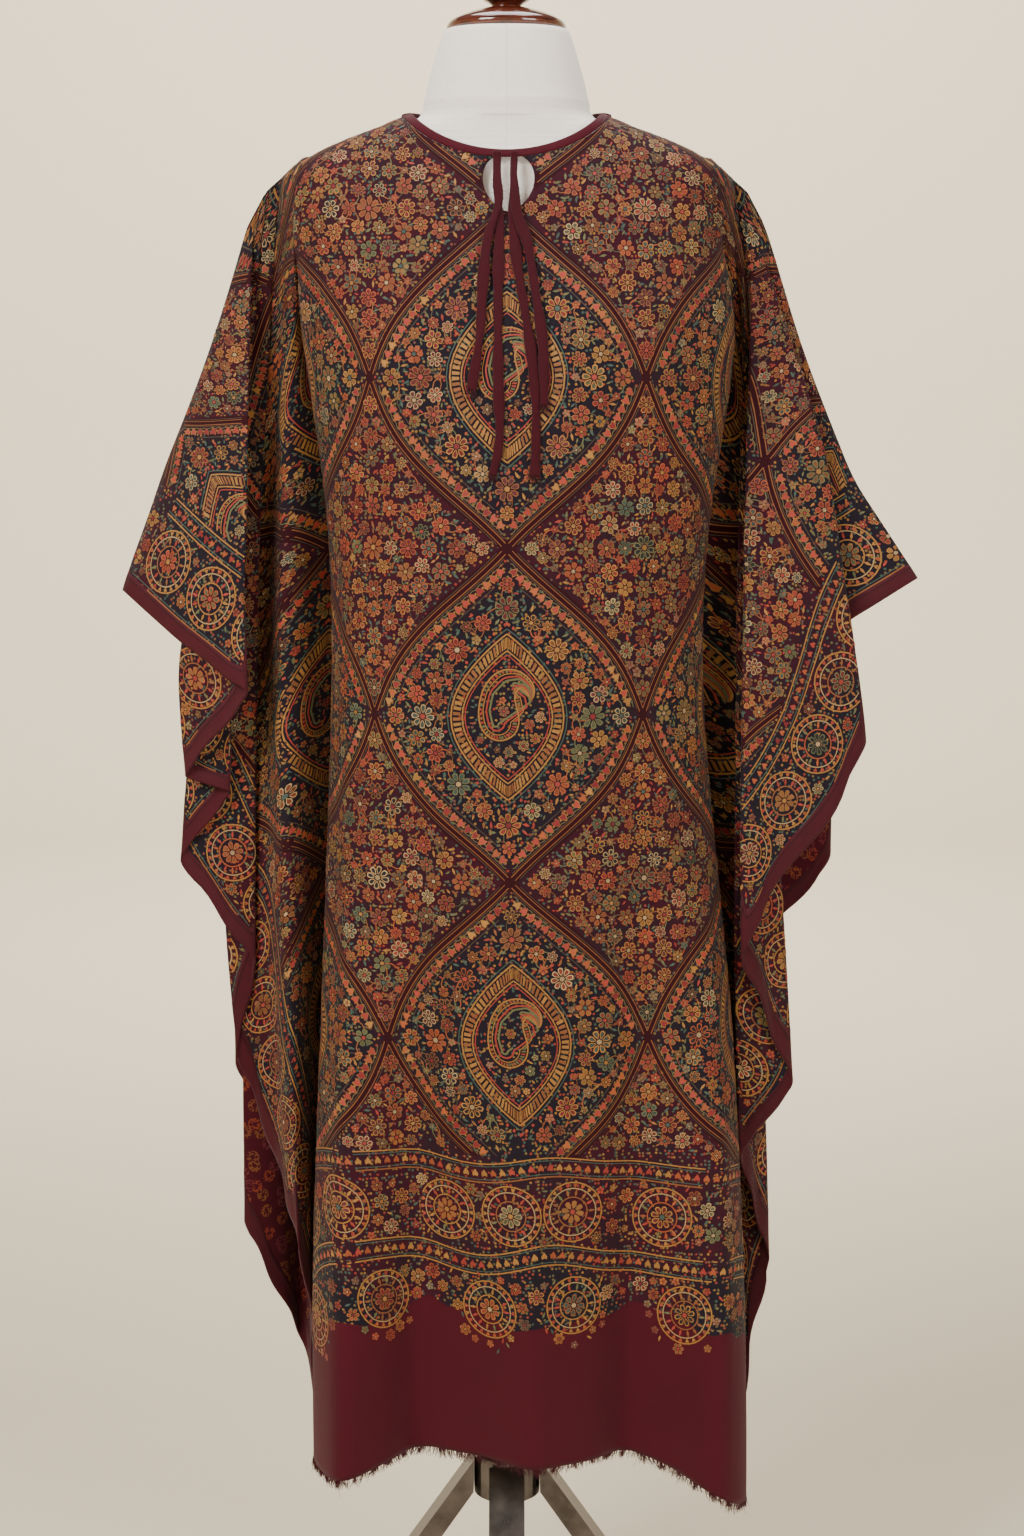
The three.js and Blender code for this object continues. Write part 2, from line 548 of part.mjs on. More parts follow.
// The band round the neck carries each panel's upper edge on towards the neck
function neckBinding(nets) {
  const outer = [];
  const inner = [];
  for (const net of nets) {
    const [first, last] = [net.leftSeam + 2 + NECK_LINES.first, net.leftSeam + 2 + NECK_LINES.last];
    const columns = columnsOf(net).filter((u) => u >= first && u <= last);
    if (net.facing === 'back') columns.reverse();
    for (const u of columns) {
      const { point, normal } = sheetSpot(net, u, 0);
      const across = sheetPoint(net, u + 0.02, 0).sub(sheetPoint(net, u - 0.02, 0));
      const inward = across.cross(normal).normalize();
      const middle = new THREE.Vector3(CENTRE_X, 0, point.z + 20);
      if (inward.dot(middle.sub(point)) < 0) inward.negate();
      const move = (by) => ({ point: point.clone().addScaledVector(inward, by), normal });
      outer.push(move(SEAM_GAP));
      inner.push(move(SEAM_GAP + BINDING.width));
    }
  }
  return wallRing(outer, inner, BINDING.thick);
}

// Where a sheet's body lies at a place seen from the front, found by halving
function bodySpot(net, x, z) {
  const lastV = net.lines[0].length - 1;
  const downTo = (u) => {
    let [low, high] = [0, lastV];
    for (let k = 0; k < 18; k += 1) {
      const middle = (low + high) / 2;
      if (sheetPoint(net, u, middle).z > z) low = middle;
      else high = middle;
    }
    return low;
  };
  let [low, high] = [net.leftSeam + 2, net.rightSeam - 2];
  for (let k = 0; k < 18; k += 1) {
    const middle = (low + high) / 2;
    if (sheetPoint(net, middle, downTo(middle)).x < x) low = middle;
    else high = middle;
  }
  return sheetSpot(net, low, downTo(low));
}

// A flat tie that hangs down over the front: a ribbon along the body's own surface, moved out
function tie(net, { layer, path }) {
  const curve = new THREE.CatmullRomCurve3(path.map(([x, z]) => new THREE.Vector3(x, 0, z)));
  const lift = BINDING.thick / 2 + SEAM_GAP + TIE.thick / 2 + layer * (TIE.thick + 0.8);
  const points = curve.getPoints(TIE.steps).map(({ x, z }) => {
    const spot = bodySpot(net, x, Math.min(z, NECK_SEAM.frontZ - 3));
    const { point, normal } = spot;
    return { point: new THREE.Vector3(x, point.y, z).addScaledVector(normal, lift), normal };
  });
  const side = (sign) => points.map(({ point, normal }, k) => {
    const along = points[Math.min(k + 1, TIE.steps)].point.clone().sub(points[Math.max(k - 1, 0)].point);
    const across = along.cross(normal).normalize();
    return { point: point.clone().addScaledVector(across, (sign * TIE.width) / 2), normal };
  });
  return wall([side(-1), side(1)], TIE.thick);
}

// Uneven but always the same: a number from 0 to 1 for each whole number
const uneven = (k) => Math.abs(Math.sin(k * 12.9898 + 4.1) * 43758.5453) % 1;

// The frayed hem: a narrow backing along the panel's edge, with three-sided strands on it
function fringe(net) {
  const lastV = net.lines[0].length - 1;
  const [first, last] = [net.leftSeam + 1.2, net.rightSeam - 1.2];
  const hemSpot = (u) => {
    const spot = sheetSpot(net, u, lastV);
    const down = spot.point.clone().sub(sheetPoint(net, u, lastV - 0.05)).normalize();
    return { ...spot, down };
  };
  const below = ({ point, normal, down }, by) => ({ point: point.clone().addScaledVector(down, by), normal });
  const corners = columnsOf(net).filter((u) => u > first && u < last).map(hemSpot);
  const rows = corners.map((spot) => [below(spot, SEAM_GAP), below(spot, SEAM_GAP + FRINGE.backing)]);
  const runs = [0];
  corners.slice(1).forEach((spot, k) => runs.push(runs[k] + spot.point.distanceTo(corners[k].point)));
  const spotAt = (run) => {
    const k = Math.max(1, runs.findIndex((end) => end >= run));
    const share = (run - runs[k - 1]) / (runs[k] - runs[k - 1]);
    const between = (key) => corners[k - 1][key].clone().lerp(corners[k][key], share);
    return { point: between('point'), normal: between('normal').normalize(), down: between('down').normalize() };
  };
  let solid = toSolid(wall(rows, CLOTH));
  for (let strand = 1; strand <= FRINGE.strands; strand += 1) {
    const spot = spotAt((runs.at(-1) * strand) / (FRINGE.strands + 1));
    const across = spot.down.clone().cross(spot.normal).normalize();
    const root = below(spot, FRINGE.backing * 0.7).point;
    const reach = FRINGE.length * (0.6 + 0.8 * uneven(strand));
    const lean = (uneven(strand + 500) - 0.5) * 0.7;
    const tip = root.clone().addScaledVector(spot.down, reach).addScaledVector(across, lean * reach);
    const corner = (side, out) => root.clone().addScaledVector(across, side).addScaledVector(spot.normal, out);
    const half = FRINGE.width / 2;
    const points = [corner(-half, -0.4), corner(half, -0.4), corner(0, 0.5), tip];
    const positions = points.flatMap((p) => p.toArray());
    solid = solid.add(toSolid(facingOut(positions, [0, 1, 2, 0, 3, 1, 1, 3, 2, 2, 3, 0])));
  }
  return fromSolid(solid);
}

const front = sheetNet('front', FRONT_LEFT, FRONT_RIGHT);
const back = sheetNet('back', BACK_LEFT, BACK_RIGHT);

const frontWall = toSolid(panel(front)).subtract(toSolid(keyholeCutter()));
add('front_panel', fromSolid(frontWall), 'cloth');
add('back_panel', panel(back), 'cloth');
for (const side of ['left', 'right']) {
  add(`front_edge_${side}`, edgeStrip(front, side), 'maroon');
  add(`back_edge_${side}`, edgeStrip(back, side), 'maroon');
}
add('neck_binding', neckBinding([front, back]), 'maroon');
TIES.forEach((row, k) => add(`tie_${k + 1}`, tie(front, row), 'maroon'));
add('front_fringe', fringe(front), 'maroon');
add('back_fringe', fringe(back), 'maroon');

// The dress form: rings joined into one closed skin
function ringLoft(rings, centreX, steps) {
  const positions = [];
  const index = [];
  rings.forEach((ring) => {
    for (let k = 0; k < steps; k += 1) {
      const angle = (k / steps) * 2 * Math.PI;
      const depth = Math.sin(angle) < 0 ? ring.front : ring.back;
      const x = centreX + ring.half * power(Math.cos(angle), 2 / RING_POWER);
      positions.push(x, depth * power(Math.sin(angle), 2 / RING_POWER), ring.z);
    }
  });
  for (let r = 0; r + 1 < rings.length; r += 1) {
    for (let k = 0; k < steps; k += 1) {
      const [a, b] = [r * steps + k, r * steps + ((k + 1) % steps)];
      index.push(a, b, b + steps, a, b + steps, a + steps);
    }
  }
  const top = positions.length / 3;
  positions.push(centreX, 0, rings[0].z, centreX, 0, rings.at(-1).z);
  const lastRing = (rings.length - 1) * steps;
  for (let k = 0; k < steps; k += 1) {
    const next = (k + 1) % steps;
    index.push(top, next, k, top + 1, lastRing + k, lastRing + next);
  }
  return facingOut(positions, index);
}
add('dress_form', ringLoft(FORM_RINGS, CENTRE_X, 28), 'linen');

// Everything on the pole's axis
function turned(name, outline, look) {
  const points = outline.map(([radius, z]) => new THREE.Vector2(radius, z));
  const geometry = new THREE.LatheGeometry(points, 28);
  geometry.rotateX(Math.PI / 2);
  geometry.translate(CENTRE_X, 0, 0);
  add(name, geometry, look);
}
turned('neck_cap', CAP, 'wood');
turned('neck_knob', KNOB, 'wood');
turned('hub', HUB, 'steel');
const poleTop = FORM_RINGS.at(-1).z - SEAM_GAP;
const poleFoot = HUB.at(-1)[1] + SEAM_GAP;
turned('pole', [[0, poleFoot], [POLE_RADIUS, poleFoot], [POLE_RADIUS, poleTop], [0, poleTop]], 'steel');

['right', 'back', 'left', 'front'].forEach((place, k) => {
  const shape = new THREE.Shape(LEG.outline.map(([reach, z]) => new THREE.Vector2(reach, z)));
  const geometry = new THREE.ExtrudeGeometry(shape, { depth: LEG.width, bevelEnabled: false });
  geometry.translate(0, 0, -LEG.width / 2);
  geometry.rotateX(Math.PI / 2);
  geometry.rotateZ((k * Math.PI) / 2);
  geometry.translate(CENTRE_X, 0, 0);
  add(`leg_${place}`, geometry, 'steel');
});

// The origin is on the floor under the middle of the whole object
const box = new THREE.Box3().setFromObject(group);
whole.position.x = -(box.min.x + box.max.x) / 2;
whole.position.y = -(box.min.y + box.max.y) / 2;

export default group;
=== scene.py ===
import math

import bmesh
import bpy
import numpy as np
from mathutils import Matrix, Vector
from mathutils.bvhtree import BVHTree


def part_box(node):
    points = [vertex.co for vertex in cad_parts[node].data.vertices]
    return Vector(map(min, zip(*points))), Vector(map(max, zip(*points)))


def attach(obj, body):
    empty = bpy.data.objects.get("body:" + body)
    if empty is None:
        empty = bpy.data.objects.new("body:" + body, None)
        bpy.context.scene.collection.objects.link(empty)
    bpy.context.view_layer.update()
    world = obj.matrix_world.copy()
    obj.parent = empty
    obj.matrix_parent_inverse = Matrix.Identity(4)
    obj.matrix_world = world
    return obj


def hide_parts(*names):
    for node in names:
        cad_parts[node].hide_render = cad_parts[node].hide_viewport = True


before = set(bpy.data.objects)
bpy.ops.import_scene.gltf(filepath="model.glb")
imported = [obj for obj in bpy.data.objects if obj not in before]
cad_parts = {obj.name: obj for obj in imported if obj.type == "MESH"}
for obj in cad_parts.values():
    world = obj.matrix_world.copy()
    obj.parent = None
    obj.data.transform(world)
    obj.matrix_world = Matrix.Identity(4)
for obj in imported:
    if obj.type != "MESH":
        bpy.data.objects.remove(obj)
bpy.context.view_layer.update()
DETAIL = "full"

# Where the kaftan's own millimetres lie in the frame: the pole's axis is at x = CENTRE_X
CENTRE_X = -5.0
pole_low, pole_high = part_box("pole")
SHIFT_X = (pole_low.x + pole_high.x) / 2 - CENTRE_X / 1000
SHIFT_Y = (pole_low.y + pole_high.y) / 2

# Driving sizes, in millimetres
CLOTH = 1.0
SEAM_GAP = 0.3
SHEET_Y = 0.75
STRIP = 12.0
STRIP_LAP = 1.5
CLEARANCE = 6.5
RING_POWER = 2.4
SEAM_INSET = 7
SEAM_HALF = 3
SEAM_JOINS_Z = 1200
FOLDS_START_Z = 1010
LINES_A_SIDE = 12
NECK_SHARE = 0.5
SEAM_STARTS = {"left": 180, "right": 182}
NECK_SEAM = {"out": 94, "side_z": 1525, "front_z": 1480, "back_z": 1525}
NECK_LINES = (5, 17)
TOP_DROPS = [0, 4, 12, 26, 50, 90, 140, 200]
LOWER_LEVELS = [0.13, 0.27, 0.41, 0.55, 0.69, 0.83, 0.94, 1]
LAST_V = len(TOP_DROPS) + len(LOWER_LEVELS) - 1

# The shoulder line and the wing's upper edge: distance outward, height
RIDGE = [
    (0, 1534), (60, 1530), (85, 1523), (139, 1506), (186, 1486), (219, 1458),
    (236, 1427), (252, 1375), (275, 1306), (319, 1200),
]
WING_TIP = {"left": (357, 1096), "right": (382, 1107)}

# The form's rings: height, half width, depth to the front, depth to the back
FORM_RINGS = [
    (1598, 57, 57, 57), (1574, 65, 62, 60), (1545, 73, 64, 62), (1530, 76, 66, 64),
    (1521, 83, 67, 65), (1514, 106, 66, 64), (1504, 137, 67, 64), (1494, 161, 69, 66),
    (1484, 182, 73, 69), (1470, 196, 80, 75), (1450, 199, 86, 80), (1420, 197, 95, 87),
    (1380, 186, 103, 92), (1330, 172, 110, 96), (1280, 160, 113, 96), (1200, 143, 104, 91),
    (1110, 128, 92, 84), (1020, 138, 96, 94), (920, 154, 102, 106), (830, 152, 100, 104),
    (760, 146, 95, 98),
]

# The body of the kaftan: height, left and right edges, depth to the front and to the back
BODY_RINGS = [
    (1500, 185, 178, 76, 74), (1470, 198, 188, 90, 84), (1440, 200, 194, 103, 94),
    (1400, 200, 200, 114, 102), (1350, 198, 208, 124, 109), (1300, 189, 207, 129, 113),
    (1220, 174, 190, 131, 114), (1150, 167, 178, 130, 112), (1000, 168, 175, 128, 116),
    (850, 174, 191, 126, 118), (725, 175, 203, 124, 118), (534, 180, 210, 120, 116),
    (240, 195, 227, 116, 112),
]

# The wing's folds from the outer edge in: distance outward at the shoulder, at 12 %, 45 % and 80 %
# of the fold's length and at its end, depth, height of its end, roll
FOLDS = {
    ("front", "left"): [
        (234, 242, 262, 288, 294, 44, 1046, 0), (231, 232, 233, 235, 234, 64, 1007, 6),
        (226, 238, 271, 306, 299, 34, 925, 4), (221, 226, 241, 253, 256, 26, 910, 4),
        (215, 228, 263, 296, 308, 17, 843, 3), (209, 214, 228, 234, 236, 12, 745, 5),
        (204, 214, 241, 272, 258, 5, 652, 3), (200, 205, 219, 221, 217, 3, 545, 0),
        (195, 200, 213, 211, 203, 56, 508, 0), (188, 190, 196, 192, 189, 58, 462, 0),
    ],
    ("front", "right"): [
        (223, 243, 274, 313, 327, 7, 1074, 0), (220, 238, 248, 265, 273, 7, 1040, -3),
        (216, 234, 292, 323, 336, 26, 956, -5), (211, 224, 215, 213, 215, 56, 760, 6),
        (206, 221, 237, 260, 273, 25, 632, 4), (201, 218, 211, 211, 219, 38, 563, 4),
        (195, 215, 227, 245, 253, 9, 455, 3), (190, 211, 210, 224, 233, 4, 350, 0),
    ],
    ("back", "left"): [
        (234, 242, 262, 288, 296, 42, 1044, 0), (230, 231, 232, 234, 236, 62, 1002, 8),
        (224, 236, 268, 296, 291, 33, 900, 7), (218, 223, 236, 240, 236, 22, 800, 4),
        (211, 222, 252, 262, 262, 14, 640, 5), (205, 209, 220, 226, 224, 12, 566, 7),
        (200, 210, 238, 254, 255, 6, 487, 4), (196, 201, 214, 216, 215, 4, 400, 0),
        (190, 194, 203, 204, 200, 52, 352, 0),
    ],
    ("back", "right"): [
        (223, 243, 272, 310, 326, 30, 1066, 0), (219, 237, 240, 252, 262, 62, 1022, 6),
        (214, 233, 286, 311, 312, 30, 838, 8), (208, 223, 226, 230, 230, 23, 742, 8),
        (203, 220, 242, 262, 267, 16, 626, 6), (198, 216, 216, 222, 228, 12, 560, 6),
        (194, 213, 226, 246, 250, 7, 450, 5), (188, 209, 210, 214, 224, 2, 360, 0),
    ],
}

# The hem: share of the way from the centre to the side seam, x, front depth and height, back ones
HEM = np.array([
    (-1, -186, 1, 282, 1, 282), (-0.94, -192, 45, 280, 50, 281), (-0.8, -182, 112, 280, 100, 282),
    (-0.65, -153, 150, 287, 122, 284), (-0.5, -112, 112, 296, 96, 290), (-0.34, -78, 72, 300, 78, 292),
    (-0.17, -32, 104, 297, 104, 290), (0, 20, 140, 294, 132, 286), (0.17, 66, 114, 294, 108, 286),
    (0.34, 107, 80, 293, 84, 286), (0.5, 148, 102, 284, 106, 280), (0.65, 186, 130, 269, 130, 270),
    (0.8, 213, 126, 252, 110, 258), (0.94, 226, 60, 241, 54, 246), (1, 218, 1, 243, 1, 243),
], dtype=float)

KEYHOLE = {"x": -3, "top_z": 1484, "wide_z": 1462, "bottom_z": 1433, "width": 45}
BINDING = {"width": 8, "thick": 2.2}
FRINGE_THREADS = {"quick": 900, "full": 1900}
TIE = {
    "half_wide": 4.3, "half_thick": 0.9, "gap": 0.3, "layer": 1.7, "pitch": 2.2,
    "end_hairs": 34, "side_hairs": 150,
}
# The ties' tails: layer, then places across and up
TIES = [
    (1, [(-13, 1484), (-13, 1460), (-12, 1437), (-21, 1409), (-25, 1371), (-28, 1323), (-35, 1278)]),
    (0, [(-13, 1482), (-13, 1455), (-11, 1428), (-12, 1371), (-12, 1293), (-11, 1236), (-17, 1205)]),
    (0, [(2, 1482), (1, 1455), (1, 1432), (4, 1390), (12, 1341), (19, 1293), (21, 1255), (20, 1204)]),
    (1, [(2, 1484), (2, 1460), (4, 1432), (13, 1405), (22, 1351), (27, 1313), (28, 1265)]),
]


def ramp(a, b, x):
    """A smooth rise from 0 at a to 1 at b."""
    t = np.clip((np.asarray(x, float) - a) / (b - a), 0, 1)
    return t * t * (3 - 2 * t)


def lowered(high, low, z):
    """0 above the upper height and 1 below the lower one."""
    return 1 - ramp(low, high, z)


def unit(vectors, tiny=0.0):
    """The same directions with a length of one."""
    return vectors / (np.linalg.norm(vectors, axis=-1, keepdims=True) + tiny)


def run_of(points):
    """The length walked along a line at each of its points."""
    return np.concatenate([[0], np.cumsum(np.linalg.norm(np.diff(points, axis=0), axis=1))])


def values_at(places, run, values):
    """A line's columns at other places along it."""
    return np.stack([np.interp(places, run, column) for column in values.T], axis=1)


def circle(count):
    """Evenly spread angles of a full turn."""
    return np.arange(count) * 2 * math.pi / count


def on_circle(angle):
    return np.stack([np.cos(angle), np.sin(angle)], axis=1)


def look_up(table, key, value, column):
    """A column of a table at a value of its key column."""
    rows = np.array(sorted(table, key=lambda row: row[key]), float)
    return np.interp(value, rows[:, key], rows[:, column])


def ridge_for(side):
    return RIDGE + [WING_TIP[side]]


def form_depth(out, z, facing):
    """How far the form reaches at a distance outward and a height, with room for the cloth."""
    half = look_up(FORM_RINGS, 0, z - CLEARANCE / 2, 1) + CLEARANCE
    depth = look_up(FORM_RINGS, 0, z, 2 if facing == "front" else 3) + CLEARANCE
    inside = 1 - np.minimum(1, np.abs(out) / half) ** RING_POWER
    return depth * inside ** (1 / RING_POWER)


def neck_point(edge, angle, facing):
    """Where the cloth's neck edge is, by the angle round the neck: out, depth, z."""
    out = edge["out"] * math.cos(angle)
    turn = abs(math.sin(angle))
    z = edge["side_z"] + (edge[facing + "_z"] - edge["side_z"]) * turn ** 1.3
    depth = max(SHEET_Y, float(form_depth(out, z, facing)))
    return out, SHEET_Y + (depth - SHEET_Y) * float(ramp(0, 0.25, turn)), z


def levels_of(start_z, end_z):
    """Heights of a line's points from its start at the shoulder to its end."""
    top = [start_z - drop for drop in TOP_DROPS]
    from_z = start_z - TOP_DROPS[-1]
    return np.array(top + [from_z + (end_z - from_z) * share for share in LOWER_LEVELS])


def ridge_line(side):
    """The wing's upper edge, where front and back meet: out, depth, z."""
    table = ridge_for(side)
    start_z = look_up(table, 0, 236 if side == "left" else 225, 1)
    z = levels_of(start_z, WING_TIP[side][1])
    return look_up(table, 1, z, 0), np.full(len(z), SHEET_Y), z


def fold_line(row, side, facing, shift):
    """One fold of a wing, moved by half its roll: out, depth, z."""
    start, high, mid, low, end, depth, end_z, _ = row
    start_z = look_up(ridge_for(side), 0, start, 1)
    z = levels_of(start_z, end_z)
    share = (start_z - z) / (start_z - end_z)
    out = np.interp(share, [0, 0.12, 0.45, 0.8, 1], [start, high, mid, low, end])
    hang = (depth + shift) * (1 - (1 - share) ** 2)
    over = form_depth(out, z, facing)
    over[0] = 0
    return out, np.maximum(SHEET_Y, np.maximum(hang, over)), z


def seam_line(side, facing, shift):
    """The line where the wing leaves the body: out, depth, z."""
    sign = -1 if side == "left" else 1
    hem = HEM[0] if sign < 0 else HEM[-1]
    start = SEAM_STARTS[side]
    start_z = look_up(ridge_for(side), 0, start, 1)
    z = levels_of(start_z, hem[3 if facing == "front" else 5])
    edge = look_up(BODY_RINGS, 0, z, 1 if side == "left" else 2) - SEAM_INSET - sign * CENTRE_X
    hem_out = sign * (hem[1] - CENTRE_X)
    low = edge + (hem_out - edge) * lowered(FOLDS_START_Z, hem[3], z)
    out = start + (low - start) * ramp(0, 5, np.arange(len(z))) + shift
    over = form_depth(out, z, facing)
    over[0] = 0
    openness = ramp(SEAM_JOINS_Z, SEAM_JOINS_Z + 60, z)
    return out, SHEET_Y + (np.maximum(SHEET_Y, over) - SHEET_Y) * openness, z


def body_line(k, facing):
    """One line of the body, counted from the centre: out, depth, z."""
    share_signed = k / LINES_A_SIDE
    row = [np.interp(share_signed, HEM[:, 0], HEM[:, column]) for column in range(6)]
    side = "left" if share_signed < 0 else "right"
    share = abs(share_signed)
    if share <= NECK_SHARE:
        start = neck_point(NECK_SEAM, (1 - share / NECK_SHARE) * math.pi / 2, facing)
    else:
        reach = (share - NECK_SHARE) / (1 - NECK_SHARE)
        start_out = NECK_SEAM["out"] + (SEAM_STARTS[side] - NECK_SEAM["out"]) * reach
        start = (start_out, SHEET_Y, float(look_up(ridge_for(side), 0, start_out, 1)))
    facing_column = 2 if facing == "front" else 4
    end_z = row[facing_column + 1]
    angle = share * math.pi / 2
    sign = -1 if share_signed < 0 else 1
    z = levels_of(start[2], end_z)
    half = look_up(BODY_RINGS, 0, z, 1 if side == "left" else 2) - sign * CENTRE_X
    ring_out = half * math.sin(angle) ** (2 / RING_POWER)
    ring_depth = look_up(BODY_RINGS, 0, z, 3 if facing == "front" else 4)
    ring_depth = ring_depth * max(math.cos(angle), 0) ** (2 / RING_POWER)
    fold = lowered(FOLDS_START_Z, end_z, z) ** 1.3
    low = ring_out + (sign * (row[1] - CENTRE_X) - ring_out) * fold
    deep = ring_depth + (row[facing_column] - ring_depth) * fold
    spread = ramp(0, 7, np.arange(len(z)))
    out = start[0] + (low - start[0]) * spread
    over = np.maximum(SHEET_Y, form_depth(out, z, facing))
    over[0] = start[1]
    return out, np.maximum(over, deep * spread), z


def sheet_net(facing):
    """A sheet's control points, from the left wing's edge to the right one's."""
    across = -1 if facing == "front" else 1

    def place(side, line):
        out, depth, z = line
        x = CENTRE_X + (-out if side == "left" else out)
        return np.stack([x, across * depth, z], axis=1)

    def wing(side):
        lines = [ridge_line(side)]
        for row in FOLDS[facing, side]:
            shifts = [0] if row[7] == 0 else [row[7] / 2, -row[7] / 2]
            lines += [fold_line(row, side, facing, shift) for shift in shifts]
        lines += [seam_line(side, facing, shift) for shift in (SEAM_HALF, 0, -SEAM_HALF)]
        return [place(side, line) for line in lines]

    left, right = wing("left"), wing("right")[::-1]
    body = []
    for k in range(1 - LINES_A_SIDE, LINES_A_SIDE):
        body.append(place("left" if k < 0 else "right", body_line(k, facing)))
    points = np.array(left + body + right)
    points = np.concatenate([2 * points[:1] - points[1:2], points, 2 * points[-1:] - points[-2:-1]])
    first, last = 2 * points[:, :1] - points[:, 1:2], 2 * points[:, -1:] - points[:, -2:-1]
    points = np.concatenate([first, points, last], axis=1)
    return {
        "facing": facing, "points": points, "last_u": len(points) - 3,
        "left_seam": len(left) - 2, "right_seam": len(left) + len(body) + 1,
        "centre": len(left) + LINES_A_SIDE - 1,
    }


def weights_at(t):
    """Weights of the four control points round a place."""
    return np.stack([
        (1 - t) ** 3, 3 * t ** 3 - 6 * t ** 2 + 4, -3 * t ** 3 + 3 * t ** 2 + 3 * t + 1, t ** 3,
    ], axis=-1) / 6


def sheet_points(net, u, v):
    """Points of a sheet's middle surface, in millimetres, for arrays of u and v of one shape."""
    u, v = np.clip(u, 0, net["last_u"]), np.clip(v, 0, LAST_V)
    i = np.clip(np.floor(u).astype(int), 0, net["last_u"] - 1)
    j = np.clip(np.floor(v).astype(int), 0, LAST_V - 1)
    wu, wv = weights_at(u - i), weights_at(v - j)
    total = np.zeros(u.shape + (3,))
    for p in range(4):
        for q in range(4):
            total += net["points"][i + p, j + q] * (wu[..., p] * wv[..., q])[..., None]
    return total


def crease(net, u, v):
    """Small folds on top of the net's own, in millimetres along the normal."""
    inside = ramp(net["left_seam"] + 1, net["left_seam"] + 4, u)
    inside = inside * (1 - ramp(net["right_seam"] - 4, net["right_seam"] - 1, u))
    low = ramp(8.2, 11, v)
    body = 1.5 * np.sin(u * 1.35 + 0.5 * np.sin(v * 0.9)) + 0.9 * np.sin(u * 2.3 + v * 0.35 + 1.0)
    chest = ramp(2.5, 5, v) * (1 - ramp(8, 11, v))
    slant = 0.7 * np.sin(u * 1.1 - v * 1.3) + 0.5 * np.sin(u * 2.1 + v * 0.8 + 2)
    wing = ramp(5, 8, v) * 0.6 * np.sin(u * 1.9 + v * 1.1)
    return inside * (low * body + chest * slant) + (1 - inside) * wing * 0.8


def edge_swing(net, u, v):
    """A gentle S in the wings' free edges, between one fold and the next."""
    on_wing = ramp(-0.5, -2.5, u - net["left_seam"]) + ramp(0.5, 2.5, u - net["right_seam"])
    inner = ramp(0.5, 2, u) * ramp(0.5, 2, net["last_u"] - u)
    swing = np.sin(2 * math.pi * u) * on_wing * inner * ramp(LAST_V - 4, LAST_V, v)
    start = np.clip(np.floor(u), 0, net["last_u"] - 1)
    bottom = np.full(u.shape, float(LAST_V))
    run = sheet_points(net, start + 1, bottom) - sheet_points(net, start, bottom)
    length = np.linalg.norm(run, axis=-1, keepdims=True)
    across = np.stack([-run[..., 2], np.zeros(u.shape), run[..., 0]], axis=-1) / (length + 1e-9)
    return across * swing[..., None] * np.clip(0.05 * (length - 35), 0, 6)


def cloth_points(net, u, v):
    """Points of the creased cloth, and normals of the sheet under it."""
    u, v = np.clip(u, 0, net["last_u"]), np.clip(v, 0, LAST_V)
    step = 0.03
    across = sheet_points(net, u + step, v) - sheet_points(net, u - step, v)
    down = sheet_points(net, u, v + step) - sheet_points(net, u, v - step)
    normal = unit(np.cross(down, across), 1e-12)
    if net["facing"] == "back":
        normal = -normal
    return sheet_points(net, u, v) + normal * crease(net, u, v)[..., None] + edge_swing(net, u, v), normal


def cloth_spots(net, u, v):
    """Points and outward normals of the creased cloth."""
    step = 0.04
    point, rough = cloth_points(net, u, v)
    u_low, u_high = np.clip(u - step, 0, net["last_u"]), np.clip(u + step, 0, net["last_u"])
    v_low, v_high = np.clip(v - step, 0, LAST_V), np.clip(v + step, 0, LAST_V)
    across = cloth_points(net, u_high, v)[0] - cloth_points(net, u_low, v)[0]
    down = cloth_points(net, u, v_high)[0] - cloth_points(net, u, v_low)[0]
    normal = unit(np.cross(down, across), 1e-12)
    flip = np.sign((normal * rough).sum(-1, keepdims=True))
    return point, normal * np.where(flip == 0, 1, flip)


def panel_end(net, u, width, steepest=0.3):
    """Where the panel ends above the sheet's edge, to leave room for a strip of some width."""
    end = sheet_points(net, u, np.full(u.shape, LAST_V))
    down = 2 * (end - sheet_points(net, u, np.full(u.shape, LAST_V - 0.5)))
    after = sheet_points(net, u + 0.3, np.full(u.shape, LAST_V))
    edge = unit(after - sheet_points(net, u - 0.3, np.full(u.shape, LAST_V)), 1e-12)
    reach = np.linalg.norm(down, axis=-1)
    square = np.maximum(np.linalg.norm(np.cross(down, edge), axis=-1), reach * steepest)
    return LAST_V - width / square


def strip_width(net, u):
    """The edge strip's width, which runs out to nothing at the side seams."""
    from_seam = np.maximum(net["left_seam"] - u, u - net["right_seam"])
    return STRIP * np.clip(from_seam / 2, 0, 1)


def to_frame(points):
    """Millimetres of the kaftan to metres of the frame."""
    return np.asarray(points, float) / 1000 + np.array([SHIFT_X, SHIFT_Y, 0])


def linked(name, data):
    """A new object that shows in the scene."""
    piece = bpy.data.objects.new(name, data)
    bpy.context.scene.collection.objects.link(piece)
    return piece


def tidy_normals(piece):
    """Turns a closed piece's faces outward."""
    mesh = bmesh.new()
    mesh.from_mesh(piece.data)
    bmesh.ops.recalc_face_normals(mesh, faces=mesh.faces)
    mesh.to_mesh(piece.data)
    mesh.free()


